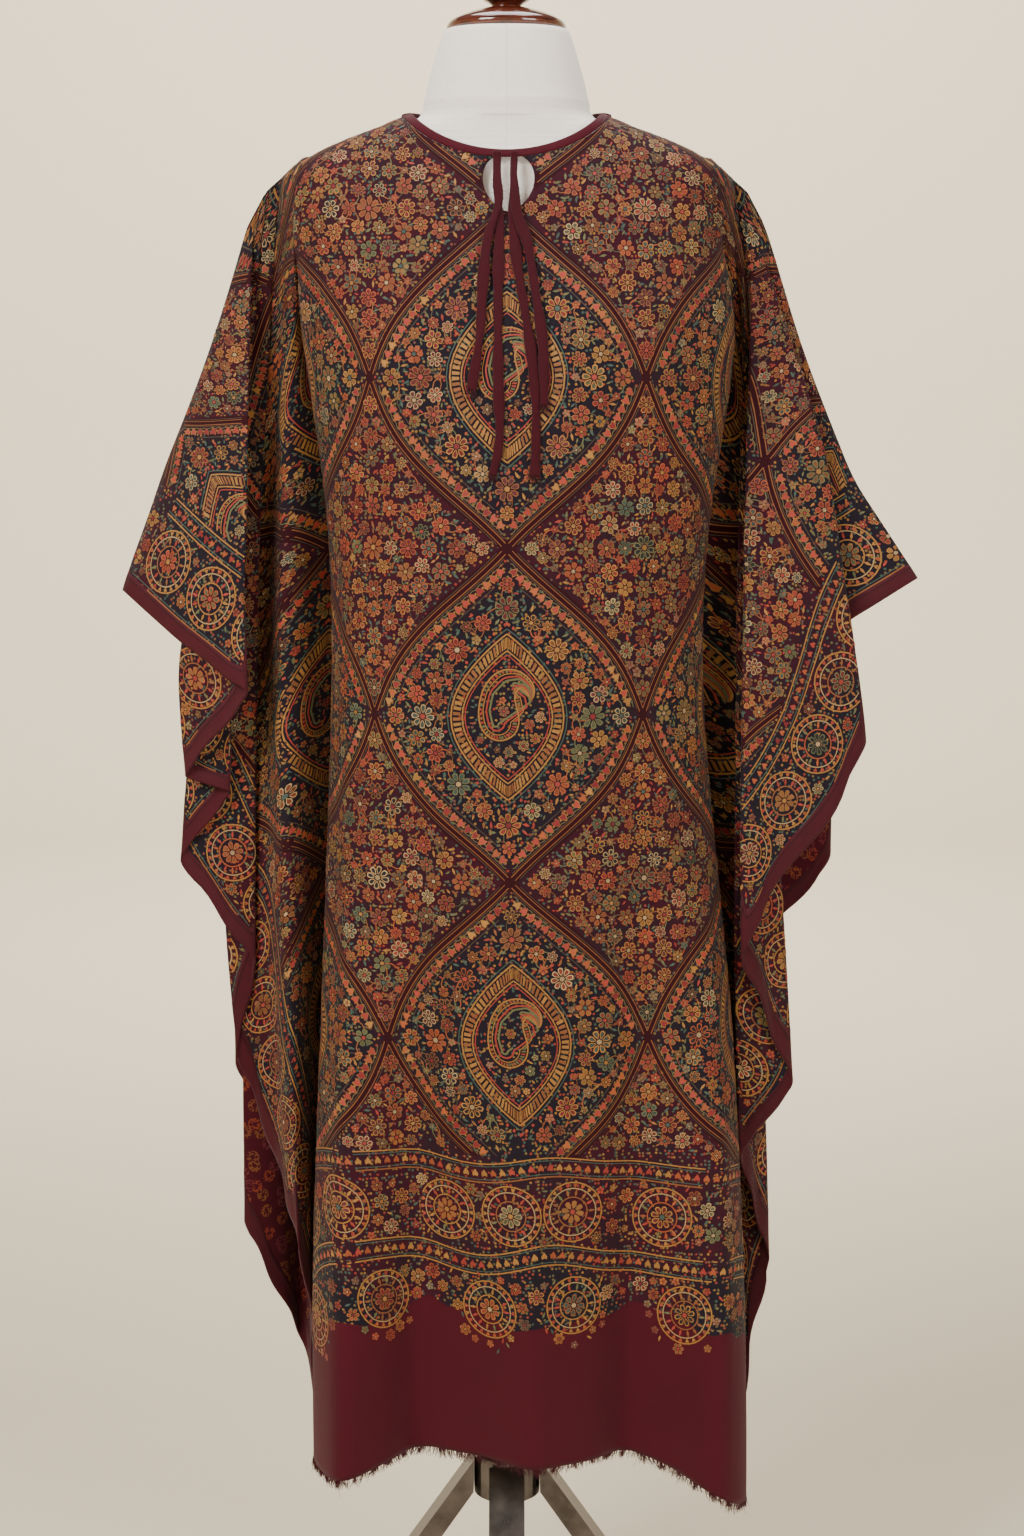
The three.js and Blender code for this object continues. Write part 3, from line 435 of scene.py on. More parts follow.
def mesh_object(name, points, faces, material, uv=None):
    """A piece from points in millimetres and faces as index tuples."""
    mesh = bpy.data.meshes.new(name)
    mesh.from_pydata(to_frame(points).tolist(), [], faces)
    if uv is not None:
        layer = mesh.uv_layers.new(name="UVMap")
        loops = np.zeros(len(mesh.loops), dtype=np.int32)
        mesh.loops.foreach_get("vertex_index", loops)
        layer.data.foreach_set("uv", np.asarray(uv, np.float32)[loops].ravel())
    mesh.validate()
    piece = linked(name, mesh)
    for look in material if isinstance(material, list) else [material]:
        mesh.materials.append(look)
    mesh.polygons.foreach_set("use_smooth", np.full(len(mesh.polygons), True))
    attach(piece, "root")
    return piece


def grid_faces(columns, rows, offset=0, flip=False):
    """Faces of a grid of points."""
    faces = []
    for i in range(columns - 1):
        for j in range(rows - 1):
            quad = (i * rows + j, i * rows + j + 1, (i + 1) * rows + j + 1, (i + 1) * rows + j)
            faces.append(tuple(offset + k for k in (reversed(quad) if flip else quad)))
    return faces


def ring_faces(rings, sides, closed=False, ends=True):
    """Faces round a row of rings, closed into a loop or with a face at each end."""
    faces = []
    for i in range(rings if closed else rings - 1):
        near, far = i * sides, (i + 1) % rings * sides
        for j in range(sides):
            after = (j + 1) % sides
            faces.append((near + j, near + after, far + after, far + j))
    if ends and not closed:
        faces += [tuple(reversed(range(sides))), tuple(range((rings - 1) * sides, rings * sides))]
    return faces


def wall_object(name, point, normal, thick, looks, uv):
    """A closed wall from a grid of points: outer face, inner face and rims."""
    columns, rows = point.shape[:2]
    outer = (point + normal * thick / 2).reshape(-1, 3)
    inner = (point - normal * thick / 2).reshape(-1, 3)
    count = columns * rows
    faces = grid_faces(columns, rows)
    inside = grid_faces(columns, rows, offset=count, flip=True)
    rim = []
    for i in range(columns - 1):
        a, b = i * rows, (i + 1) * rows
        rim.append((a, b, b + count, a + count))
        c, d = a + rows - 1, b + rows - 1
        rim.append((d, c, c + count, d + count))
    for j in range(rows - 1):
        rim.append((j + 1, j, j + count, j + 1 + count))
        e = (columns - 1) * rows + j
        rim.append((e, e + 1, e + 1 + count, e + count))
    flat = uv.reshape(-1, 2)
    piece = mesh_object(name, np.concatenate([outer, inner]), faces + inside + rim, looks,
                        uv=np.concatenate([flat, flat]))
    indices = [0] * len(faces) + [min(1, len(piece.data.materials) - 1)] * len(inside)
    indices += [min(1, len(piece.data.materials) - 1)] * len(rim)
    piece.data.polygons.foreach_set("material_index", np.array(indices, dtype=np.int32))
    tidy_normals(piece)
    return piece


# The flat lay-out has every line of the cloth that hangs at this height at this distance down
FLAT_LEVEL = {"z": 1000, "b": 534}


def flatten(net):
    """Lays the sheet out flat: across from the centre line and down from the shoulder, in millimetres.

    The body keeps its widths. A wing opens as a fan about the shoulder, turned at each line by as
    much as the cloth spreads there.
    """
    parts_u, parts_v = 6, 8
    u = np.linspace(0, net["last_u"], net["last_u"] * parts_u + 1)
    v = np.linspace(0, LAST_V, LAST_V * parts_v + 1)
    point, _ = cloth_points(net, *np.meshgrid(u, v, indexing="ij"))
    length = np.zeros(point.shape[:2])
    length[:, 1:] = np.cumsum(np.linalg.norm(np.diff(point, axis=1), axis=2), axis=1)
    gap = np.diff(point, axis=0)
    a = np.zeros_like(length)
    a[1:] = np.cumsum(np.hypot(gap[..., 0], gap[..., 1]), axis=0)
    a -= a[net["centre"] * parts_u]
    at_level = np.array([np.interp(-FLAT_LEVEL["z"], -point[i, :, 2], length[i]) for i in range(len(u))])
    b = FLAT_LEVEL["b"] - (at_level[:, None] - length)
    down = unit(np.gradient(point, axis=1))
    for seam, step in ((net["left_seam"] * parts_u, -1), (net["right_seam"] * parts_u, 1)):
        seam_a, seam_b, seam_length = a[seam].copy(), b[seam].copy(), length[seam].copy()
        angle, start = 0.0, 0.0
        column = seam + step
        while 0 <= column < len(u):
            between = point[column] - point[column - step]
            along = (between * down[column]).sum(1)
            side = np.linalg.norm(between - along[:, None] * down[column], axis=1)
            first = side[0]
            use = length[column] > 0.4 * length[column, -1]
            spread = (side[use] - first * math.cos(angle)) / length[column, use]
            angle += max(0.0, float(spread.mean()))
            start += float(np.linalg.norm(between[0]))
            reach = length[column]
            a[column] = np.interp(reach, seam_length, seam_a) + step * (start + reach * math.sin(angle))
            b[column] = np.interp(reach * math.cos(angle), seam_length, seam_b)
            column += step
    net["flat_u"], net["flat_v"], net["a"], net["b"] = u, v, a, b
    return net


def bilinear(net, field, u, v):
    """Values of a field of the flat lay-out at u and v."""
    x = np.clip(u, 0, net["last_u"]) * (len(net["flat_u"]) - 1) / net["last_u"]
    y = np.clip(v, 0, LAST_V) * (len(net["flat_v"]) - 1) / LAST_V
    i = np.clip(x.astype(int), 0, field.shape[0] - 2)
    j = np.clip(y.astype(int), 0, field.shape[1] - 2)
    s, t = x - i, y - j
    near = field[i, j] * (1 - t) + field[i, j + 1] * t
    far = field[i + 1, j] * (1 - t) + field[i + 1, j + 1] * t
    return near * (1 - s) + far * s


def doubled(a, b, c):
    """Twice the areas of flat triangles, by the way round that their corners go."""
    return (b[:, 0] - a[:, 0]) * (c[:, 1] - a[:, 1]) - (c[:, 0] - a[:, 0]) * (b[:, 1] - a[:, 1])


class Cloth:
    """One sheet with its flat lay-out, and the way back from a flat place to the hanging cloth."""

    def __init__(self, facing):
        self.net = flatten(sheet_net(facing))
        net = self.net
        self.facing = facing
        columns, rows = net["a"].shape
        points = np.stack([net["a"].ravel(), net["b"].ravel(), np.zeros(columns * rows)], axis=1)
        triangles = []
        for i in range(columns - 1):
            for j in range(rows - 1):
                k = i * rows + j
                triangles += [(k, k + 1, k + rows + 1), (k, k + rows + 1, k + rows)]
        self.triangles = np.array(triangles)
        self.flat_points = points[:, :2]
        self.tree = BVHTree.FromPolygons(points.tolist(), triangles)
        grid_u, grid_v = np.meshgrid(net["flat_u"], net["flat_v"], indexing="ij")
        self.grid_uv = np.stack([grid_u.ravel(), grid_v.ravel()], axis=1)
        self.hem = self.edge_line(net["left_seam"], net["right_seam"])
        self.wings = [self.edge_line(0, net["left_seam"]), self.edge_line(net["last_u"], net["right_seam"])]
        self.hem_distance = self.distance_field([self.hem])
        self.wing_distance = self.distance_field(self.wings)

    def flat_at(self, u, v):
        return np.stack([bilinear(self.net, self.net[key], u, v) for key in ("a", "b")], axis=-1)

    def edge_line(self, first, last):
        """The free edge between two lines, in flat millimetres, evenly spaced and evened out."""
        points = self.flat_at(np.linspace(first, last, 200), np.full(200, float(LAST_V)))
        run = run_of(points)
        points = values_at(np.linspace(0, run[-1], max(20, int(run[-1] / 8))), run, points)
        for _ in range(12):
            points[1:-1] = (points[:-2] + 2 * points[1:-1] + points[2:]) / 4
        return points

    def distance_field(self, lines):
        best = np.full(len(self.flat_points), 1e9)
        for line in lines:
            start, way = line[:-1], np.diff(line, axis=0)
            square = (way ** 2).sum(1)
            for k in range(len(start)):
                offset = self.flat_points - start[k]
                t = np.clip((offset @ way[k]) / square[k], 0, 1)
                best = np.minimum(best, np.linalg.norm(offset - t[:, None] * way[k], axis=1))
        return best.reshape(self.net["a"].shape)

    def find(self, flat):
        """u, v for flat places, and which of them lie on the cloth."""
        flat = np.asarray(flat, float)
        u, v = np.zeros(len(flat)), np.zeros(len(flat))
        found = np.zeros(len(flat), dtype=np.int64) - 1
        down = Vector((0, 0, -1))
        for k, (x, y) in enumerate(flat.tolist()):
            _, _, index, _ = self.tree.ray_cast(Vector((x, y, 1)), down, 2)
            if index is not None:
                found[k] = index
        hit = found >= 0
        corners = self.triangles[found[hit]]
        p0, p1, p2 = (self.flat_points[corners[:, k]] for k in range(3))
        place = flat[hit]
        area = doubled(p0, p1, p2)
        area = np.where(np.abs(area) < 1e-9, 1e-9, area)
        w1, w2 = doubled(p0, place, p2) / area, doubled(p0, p1, place) / area
        uv = self.grid_uv[corners]
        mixed = uv[:, 0] * (1 - w1 - w2)[:, None] + uv[:, 1] * w1[:, None] + uv[:, 2] * w2[:, None]
        u[hit], v[hit] = mixed[:, 0], mixed[:, 1]
        return u, v, hit

    def zones(self, flat):
        """Distance to the hem and to the wings' free edges, and whether it is on the cloth."""
        u, v, hit = self.find(flat)
        return bilinear(self.net, self.hem_distance, u, v), bilinear(self.net, self.wing_distance, u, v), hit


def srgb(red, green, blue):
    """A display colour as the linear values that shaders take."""
    values = np.array([red, green, blue]) / 255
    return np.where(values <= 0.04045, values / 12.92, ((values + 0.055) / 1.055) ** 2.4)


THREADS = {
    "gold": srgb(150, 104, 48), "ochre": srgb(126, 76, 40), "coral": srgb(144, 50, 40),
    "orange": srgb(148, 72, 38), "red": srgb(112, 24, 30), "sage": srgb(92, 92, 60),
    "teal": srgb(58, 76, 68), "cream": srgb(158, 132, 92), "stem": srgb(66, 56, 44),
    "rose": srgb(100, 38, 46), "navy": srgb(18, 17, 26), "maroon": srgb(36, 6, 16),
}
LATTICE = {"wide": 248.0, "high": 298.0, "centre_b": 542.0, "bulge": 14.0}
# The lattice ends at these distances from the hem and from the wings' free edges
FIELD_EDGE = {"hem": 292.0, "wing": 97.0}


class Stitches:
    """Flat patches of thread, gathered by number of corners."""

    def __init__(self):
        self.patches = {}

    def add(self, points, colours, lift, threads=None):
        """points is (count, corners, 2), colours (count, 3), threads (count, corners, 2)."""
        corners = points.shape[1]
        threads = points if threads is None else threads
        self.patches.setdefault(corners, []).append((points, colours, np.full(len(points), lift), threads))

    def line(self, points, width, colour, lift=0.30, closed=False):
        points = np.asarray(points, float)
        if closed:
            points = np.concatenate([points, points[:2]])
        way = np.gradient(points, axis=0)
        if closed:
            way[0] = way[-2]
            way[-1] = way[1]
        way = unit(way, 1e-9)
        side = np.stack([-way[:, 1], way[:, 0]], axis=1) * width / 2
        last = len(points) - 1 if closed else len(points)
        low, high = (points - side)[:last], (points + side)[:last]
        quads = np.stack([low[:-1], low[1:], high[1:], high[:-1]], axis=1)
        if closed:
            end = np.stack([low[-1:], low[:1], high[:1], high[-1:]], axis=1)
            quads = np.concatenate([quads, end])
        self.add(quads, np.tile(THREADS[colour], (len(quads), 1)), lift)

    def place(self, shape, centres, angles, sizes, colours, lift):
        """Copies of a shape with unit size, turned, scaled and moved."""
        centres, angles = np.asarray(centres, float), np.asarray(angles, float)
        shape = np.asarray(shape, float)
        local = np.tile(shape, (len(centres), 1, 1))
        sizes = np.broadcast_to(np.asarray(sizes, float), (len(centres),))
        local = local * sizes[:, None, None]
        cos, sin = np.cos(angles)[:, None], np.sin(angles)[:, None]
        x = local[..., 0] * cos - local[..., 1] * sin + centres[:, :1]
        y = local[..., 0] * sin + local[..., 1] * cos + centres[:, 1:]
        self.add(np.stack([x, y], axis=-1), np.asarray(colours), lift, local)


def from_polar(polar):
    return np.array([(r * math.sin(t), r * math.cos(t)) for r, t in polar])


def petal(count):
    """One petal of a flower, pointing up, six-cornered."""
    half = math.pi / count * 0.86
    return from_polar([
        (0.2, 0), (0.66, -half), (0.93, -half * 0.66), (1.0, 0), (0.93, half * 0.66), (0.66, half),
    ])


def petal_heart(count):
    """The coloured middle of a petal, inside its outline."""
    half = math.pi / count * 0.60
    return from_polar([(0.32, 0), (0.66, -half), (0.88, -half * 0.55), (0.88, half * 0.55), (0.66, half)])


def small_petal(count):
    """A plainer petal for small flowers."""
    half = math.pi / count * 0.9
    return from_polar([(0.15, 0), (0.75, -half), (1.0, 0), (0.75, half)])


def disc(corners):
    turn = circle(corners)
    return np.stack([np.sin(turn), np.cos(turn)], axis=1)


LEAF = np.array([(0, -1), (0.34, -0.2), (0.2, 0.5), (0, 1), (-0.2, 0.5), (-0.34, -0.2)])
BEAD = np.array([(0, -1), (0.8, 0), (0, 1), (-0.8, 0)])
HEART = np.array([(0, -1), (0.75, 0.1), (0.6, 0.8), (0, 0.5), (-0.6, 0.8), (-0.75, 0.1)])


def colour_list(names, chances, count, rng):
    """Thread colours picked by chance, each a little lighter or darker."""
    picked = rng.choice(len(names), size=count, p=np.array(chances) / sum(chances))
    base = np.array([THREADS[name] for name in names])[picked]
    return base * rng.uniform(0.82, 1.18, (count, 1))


def flowers(stitches, centres, sizes, rng, lift=0.45):
    """A flower of petals round a dark ring and a bright heart at each place."""
    centres, sizes = np.asarray(centres, float), np.asarray(sizes, float) * 0.89
    if not len(centres):
        return
    for low, high, count in ((9.8, 99, 8), (4.9, 9.8, 6), (0, 4.9, 5)):
        use = (sizes >= low) & (sizes < high)
        if not use.any():
            continue
        spots, reach = centres[use], sizes[use]
        names = ["gold", "coral", "orange", "sage", "teal", "ochre", "red", "rose", "navy"]
        chances = [5, 12, 10, 8, 10, 8, 16, 8, 12] if count == 8 else [4, 20, 8, 12, 14, 6, 20, 10, 6]
        fills = colour_list(names, chances, len(spots), rng) * 0.66
        outlines = colour_list(["gold", "ochre", "orange", "sage", "cream"], [6, 4, 3, 2, 2], len(spots), rng)
        outlines = outlines * 1.12
        turn = rng.uniform(0, 2 * math.pi, len(spots))
        shape = petal(count) if count > 5 else small_petal(count)
        for k in range(count):
            shade = rng.uniform(0.82, 1.18, (len(spots), 1))
            angle = turn + k * 2 * math.pi / count
            if count > 5:
                stitches.place(shape, spots, angle, reach, outlines * shade, lift)
                stitches.place(petal_heart(count), spots, angle, reach, fills * shade, lift + 0.06)
            else:
                stitches.place(shape, spots, angle, reach, (fills + outlines * 0.35) * shade, lift)
        hearts = colour_list(["coral", "gold", "cream", "red", "teal"], [4, 4, 3, 2, 1], len(spots), rng)
        if count > 5:
            dark = np.tile(THREADS["maroon"], (len(spots), 1))
            stitches.place(disc(6), spots, turn, reach * 0.34, dark, lift + 0.12)
        stitches.place(disc(6 if count > 5 else 4), spots, turn, reach * 0.23, hearts, lift + 0.18)


def roundels(stitches, centres, radius, rng):
    """Ringed roundels with beads, petals and a flower in the middle."""
    for centre in np.asarray(centres, float):
        warm = ["orange", "ochre", "gold"][rng.integers(3)]
        for share, width, colour in ((1.0, 1.3, "gold"), (0.80, 1.0, "cream"), (0.5, 1.1, warm)):
            stitches.line(centre + on_circle(circle(28)) * radius * share, width, colour, closed=True)
        for shape, steps, names, chances, reach, size in (
            (HEART, 22, ["orange", "gold", "coral"], [3, 2, 2], 0.90, 0.085),
            (LEAF, 14, [warm, "coral", "sage"], [4, 3, 1], 0.65, 0.14),
        ):
            angle = circle(steps)
            shades = colour_list(names, chances, steps, rng)
            spots = centre + on_circle(angle) * radius * reach
            stitches.place(shape, spots, angle - math.pi / 2, radius * size, shades, 0.4)
        flowers(stitches, [centre], [radius * 0.44], rng)


def free_places(rng, tries, size, inside, taken, low, high):
    """Places for discs of one size that touch none of those taken already."""
    places = []
    candidates = rng.uniform(low, high, (tries, 2))
    candidates = candidates[inside(candidates, size)]
    for point in candidates:
        if len(taken["at"]):
            near = np.hypot(taken["at"][:, 0] - point[0], taken["at"][:, 1] - point[1])
            if (near < (taken["size"] + size) * 0.94).any():
                continue
        places.append(point)
        taken["at"] = np.vstack([taken["at"], point])
        taken["size"] = np.append(taken["size"], size)
    return places


def swell(share):
    """How far the lattice's lines bow out, by the share of the way from a diamond's tip to its side."""
    return LATTICE["bulge"] * np.sin(np.pi * share ** 1.5)


def edge_depth(a, b):
    """How far inside its diamond a place of the first quadrant is, less than nothing outside it."""
    half_wide, half_high = LATTICE["wide"] / 2, LATTICE["high"] / 2
    reach = half_wide * half_high / math.hypot(half_wide, half_high)
    bulge = swell(np.clip(a / half_wide, 0, 1))
    return reach * (1 - a / half_wide - b / half_high) + bulge


def almond(scale, steps=48):
    """The medallion's pointed oval."""
    y = np.cos(circle(steps))
    x = np.sign(np.sin(circle(steps))) * np.cos(math.pi / 2 * y) ** 0.9
    return np.stack([x * 50, y * 74], axis=1) * scale


def cell_places(rng):
    """Flowers and leaves of a quarter of a diamond and the quarter beside it: a, b, size, kind."""
    half = np.array([LATTICE["wide"] / 2, LATTICE["high"] / 2])
    fixed = [
        (76, 0, 12.5), (44, 60, 12.0), (0, 97, 12.5), (0, 118, 7.5), (124, 149, 12.5), (124, 112, 9.5),
        (88, 149, 9.5),
    ]
    taken = {"at": np.array([row[:2] for row in fixed], float), "size": np.array([row[2] for row in fixed])}
    places = [(a, b, size, 0) for a, b, size in fixed]

    def inside(points, size):
        for axis in (0, 1):
            column = points[:, axis]
            column[column < size] = 0
            column[column > half[axis] - size] = half[axis]
        depth = edge_depth(points[:, 0], points[:, 1])
        lens = 50 * np.cos(math.pi / 2 * np.clip(points[:, 1] / 80, -1, 1)) ** 0.9 + 5
        clear = (points[:, 0] > lens + size) | (points[:, 1] > 80 + size)
        return ((depth > 17 + size * 0.8) & clear) | (depth < -(7 + size * 0.85))

    for size, tries in ((9.2, 500), (7.4, 700), (5.8, 900), (4.4, 1100)):
        found = free_places(rng, tries, size, inside, taken, (0, 0), half)
        places += [(a, b, size * rng.uniform(0.92, 1.06), 0) for a, b in found]
    for size, tries in ((3.0, 1800), (2.2, 2200)):
        found = free_places(rng, tries, size, inside, taken, (0, 0), half)
        places += [(a, b, size, 1) for a, b in found]
    return np.array(places)


def tiled(places, columns, rows):
    """The quarter's places, mirrored into every cell, each once."""
    out = []
    for i in columns:
        for j in rows:
            for sign_a in (-1, 1):
                for sign_b in (-1, 1):
                    copy = places.copy()
                    copy[:, 0] = LATTICE["wide"] * i + sign_a * places[:, 0]
                    copy[:, 1] = LATTICE["centre_b"] + LATTICE["high"] * j + sign_b * places[:, 1]
                    out.append(copy)
    out = np.concatenate(out)
    _, first = np.unique(np.round(out[:, :2] * 2).astype(int), axis=0, return_index=True)
    return out[np.sort(first)]


def stems(stitches, places, rng):
    """Thin stems from each flower to two of its nearest neighbours."""
    at = places[:, :2]
    for start in range(0, len(at), 400):
        some = at[start:start + 400]
        gap = np.hypot(some[:, None, 0] - at[None, :, 0], some[:, None, 1] - at[None, :, 1])
        gap[gap < 0.1] = 1e9
        near = np.argsort(gap, axis=1)[:, :2]
        for k in range(2):
            other = at[near[:, k]]
            close = gap[np.arange(len(some)), near[:, k]] < 27
            first, last = some[close], other[close]
            way = last - first
            side = np.stack([-way[:, 1], way[:, 0]], axis=1)
            bend = rng.choice([-0.24, 0.24], (len(first), 1))
            t = np.linspace(0, 1, 4)
            path = first[:, None] + way[:, None] * t[None, :, None]
            path = path + (side * bend)[:, None] * (4 * t * (1 - t))[None, :, None]
            step = np.diff(path, axis=1)
            out = np.stack([-step[..., 1], step[..., 0]], axis=-1)
            out = 0.46 * out / (np.linalg.norm(out, axis=-1, keepdims=True) + 1e-9)
            a, b = path[:, :-1], path[:, 1:]
            quads = np.stack([a - out, b - out, b + out, a + out], axis=2).reshape(-1, 4, 2)
            colours = colour_list(["stem", "ochre", "sage", "orange"], [3, 5, 3, 2], len(quads) // 3, rng)
            stitches.add(quads, np.repeat(colours, 3, axis=0), 0.22)


# The lattice's lines: distance inside the diamond's edge, width, thread
LATTICE_LINES = [
    (2.2, 0.9, "ochre"), (3.9, 0.7, "stem"), (16.4, 0.7, "stem"), (-2.2, 0.7, "ochre"), (-4.2, 0.6, "stem"),
]


def diamonds(stitches, columns, rows, rng):
    """The lattice's double lines and rows of hearts, and the medallion of each diamond."""
    half = np.array([LATTICE["wide"] / 2, LATTICE["high"] / 2])
    t = np.linspace(0.0, 1.0, 25)
    for i in columns:
        for j in rows:
            centre = np.array([LATTICE["wide"] * i, LATTICE["centre_b"] + LATTICE["high"] * j])
            for sign_a in (-1, 1):
                for sign_b in (-1, 1):
                    sign = np.array([sign_a, sign_b])
                    first, last = centre + sign * half * (1, 0), centre + sign * half * (0, 1)
                    way = (last - first) / np.linalg.norm(last - first)
                    out = np.array([-way[1], way[0]])
                    out = out if out @ (first - centre) > 0 else -out
                    line = first + (last - first) * t[:, None]
                    line = line + out * swell(1 - t)[:, None]
                    for inset, width, colour in LATTICE_LINES:
                        cut = abs(inset) / 95
                        inner = first + (last - first) * (cut + (1 - 2 * cut) * t)[:, None]
                        inner = inner + out * swell(1 - cut - (1 - 2 * cut) * t)[:, None]
                        stitches.line(inner - out * inset, width, colour)
                    length = np.linalg.norm(last - first)
                    count = int(length / 9.6)
                    spot = (np.arange(count) + 0.5) / count
                    spot = 0.08 + spot * 0.84
                    hearts = first + (last - first) * spot[:, None]
                    hearts = hearts + out * (swell(1 - spot) - 10)[:, None]
                    turn = math.atan2(-out[0], out[1]) + math.pi
                    reds = colour_list(["coral", "red", "orange", "gold"], [6, 3, 2, 1], count, rng)
                    ochres = colour_list(["ochre", "gold"], [3, 2], count, rng)
                    stitches.place(HEART, hearts, np.full(count, turn), 4.8, ochres, 0.40)
                    stitches.place(HEART, hearts, np.full(count, turn), 3.9, reds * 1.15, 0.46)
                    wave = np.linspace(0.06, 0.94, 4 * count + 1)
                    scallops = first + (last - first) * wave[:, None]
                    rise = swell(1 - wave) - 5.2 - 1.6 * np.abs(np.sin(count / 0.88 * np.pi * wave))
                    stitches.line(scallops + out * rise[:, None], 0.7, "sage", lift=0.36)
                    dots = hearts + way * (length * 0.42 / count)
                    golds = colour_list(["gold", "teal"], [2, 1], count, rng)
                    stitches.place(disc(4), dots, np.zeros(count), 1.1, golds, 0.42)
            medallion(stitches, centre, rng)


PAISLEY = np.array([
    (22, -14), (25, -27), (16, -39), (2, -44), (-12, -39), (-22, -25), (-26, -6), (-24, 10),
    (-14, 20), (-2, 21), (8, 14), (11, 2), (8, -10), (6, -20), (11, -27), (17, -22),
], dtype=float)
PAISLEY_SPINE = np.array([
    (-11, 6), (-14, -6), (-11, -20), (0, -31), (11, -33), (20, -26), (22, -16),
], dtype=float)


def bars_between(outer, inner):
    """Short bars across the gap between two closed lines, each with a space after it."""
    ahead_outer, ahead_inner = (line * 0.4 + np.roll(line, -1, axis=0) * 0.6 for line in (outer, inner))
    return np.stack([outer, ahead_outer, ahead_inner, inner], axis=1)


def medallion(stitches, centre, rng):
    """An almond with rings, bars and beads, and a paisley leaf and small flowers inside."""
    rings = ((1.06, 0.9, "teal"), (1.0, 1.4, "gold"), (0.80, 1.2, "gold"), (0.75, 0.9, "coral"))
    for scale, width, colour in rings:
        stitches.line(centre + almond(scale), width, colour, closed=True)
    bars = bars_between(almond(0.965, 88), almond(0.835, 88))
    stitches.add(centre + bars, colour_list(["gold", "ochre"], [3, 2], len(bars), rng), 0.4)
    beads = almond(1.125, 40)
    stitches.place(BEAD, centre + beads, np.arctan2(beads[:, 1], beads[:, 0]) + math.pi / 2, 1.9,
                   colour_list(["coral", "orange", "teal"], [3, 2, 1], 40, rng), 0.4)
    curl = PAISLEY
    for _ in range(2):
        after = np.roll(curl, -1, axis=0)
        curl = np.stack([curl * 0.75 + after * 0.25, curl * 0.25 + after * 0.75], axis=1).reshape(-1, 2)
    steps = np.linspace(0, len(PAISLEY_SPINE) - 1, 60)
    spine = values_at(steps, range(len(PAISLEY_SPINE)), PAISLEY_SPINE)
    near = np.hypot(curl[:, None, 0] - spine[None, :, 0], curl[:, None, 1] - spine[None, :, 1]).argmin(axis=1)
    sizes = (1.0, 0.92, 0.74, 0.66, 0.40, 0.15)
    curls = {share: spine[near] + (curl - spine[near]) * share for share in sizes}
    outlines = ((1.0, 1.3, "gold"), (0.66, 0.8, "gold"), (0.40, 1.5, "coral"), (0.15, 1.8, "sage"))
    for share, width, colour in outlines:
        stitches.line(centre + curls[share], width, colour, lift=0.5, closed=True)
    bars = bars_between(curls[0.92], curls[0.74])
    stitches.add(centre + bars, colour_list(["ochre", "sage", "coral"], [3, 2, 2], len(bars), rng), 0.42)
    edges = np.concatenate([curls[1.0], curls[0.66], curls[0.15]])
    taken = {"at": edges, "size": np.full(len(edges), 3.5)}

    def inside(points, size):
        width = 0.71 * 50 * np.cos(math.pi / 2 * np.clip(points[:, 1] / (0.71 * 74), -1, 1)) ** 0.9
        return np.abs(points[:, 0]) < width - size

    for size, tries in ((5.6, 300), (4.0, 400), (2.4, 500)):
        found = free_places(rng, tries, size, inside, taken, (-40, -56), (40, 56))
        if found and size > 3:
            flowers(stitches, centre + np.array(found), np.full(len(found), size), rng)
        elif found:
            colours = colour_list(["teal", "gold", "coral"], [2, 2, 1], len(found), rng)
            angles = rng.uniform(0, 6.3, len(found))
            stitches.place(LEAF, centre + np.array(found), angles, size, colours, 0.4)


def offset_line(line, distance):
    """A flat line moved sideways, towards the middle of the cloth."""
    way = unit(np.gradient(line, axis=0), 1e-9)
    side = np.stack([-way[:, 1], way[:, 0]], axis=1)
    middle = np.array([0.0, 500.0])
    if ((middle - line) * side).sum() < 0:
        side = -side
    moved = line + side * np.asarray(distance).reshape(-1, 1)
    return moved, side


def along(line, pitch, first=0.5):
    """Evenly spaced places along a flat line, the angles there and the lengths walked."""
    run = run_of(line)
    count = max(1, int(round(run[-1] / pitch)))
    spots = (np.arange(count) + first) * run[-1] / count
    way = values_at(spots, run, np.gradient(line, axis=0))
    return values_at(spots, run, line), np.arctan2(way[:, 1], way[:, 0]), spots


# Bands along the wings' edges: distance from the edge, width, thread
WING_BANDS = [
    (15.5, 1.3, "ochre"), (18, 0.8, "teal"), (79, 1.2, "gold"), (81.5, 0.8, "teal"), (92, 0.8, "teal"),
    (94.5, 1.2, "gold"),
]
# Waving bands above the hem: distance from the hem, height of the wave, width, thread
HEM_BANDS = [
    (186, 8, 1.3, "gold"), (188.5, 8, 0.8, "teal"), (202, 8, 0.8, "teal"), (204.5, 8, 1.3, "gold"),
    (272, 5, 1.3, "ochre"), (274.5, 5, 0.8, "teal"), (287, 5, 0.8, "teal"), (289.5, 5, 1.2, "gold"),
]
WAVE_PITCH = 165


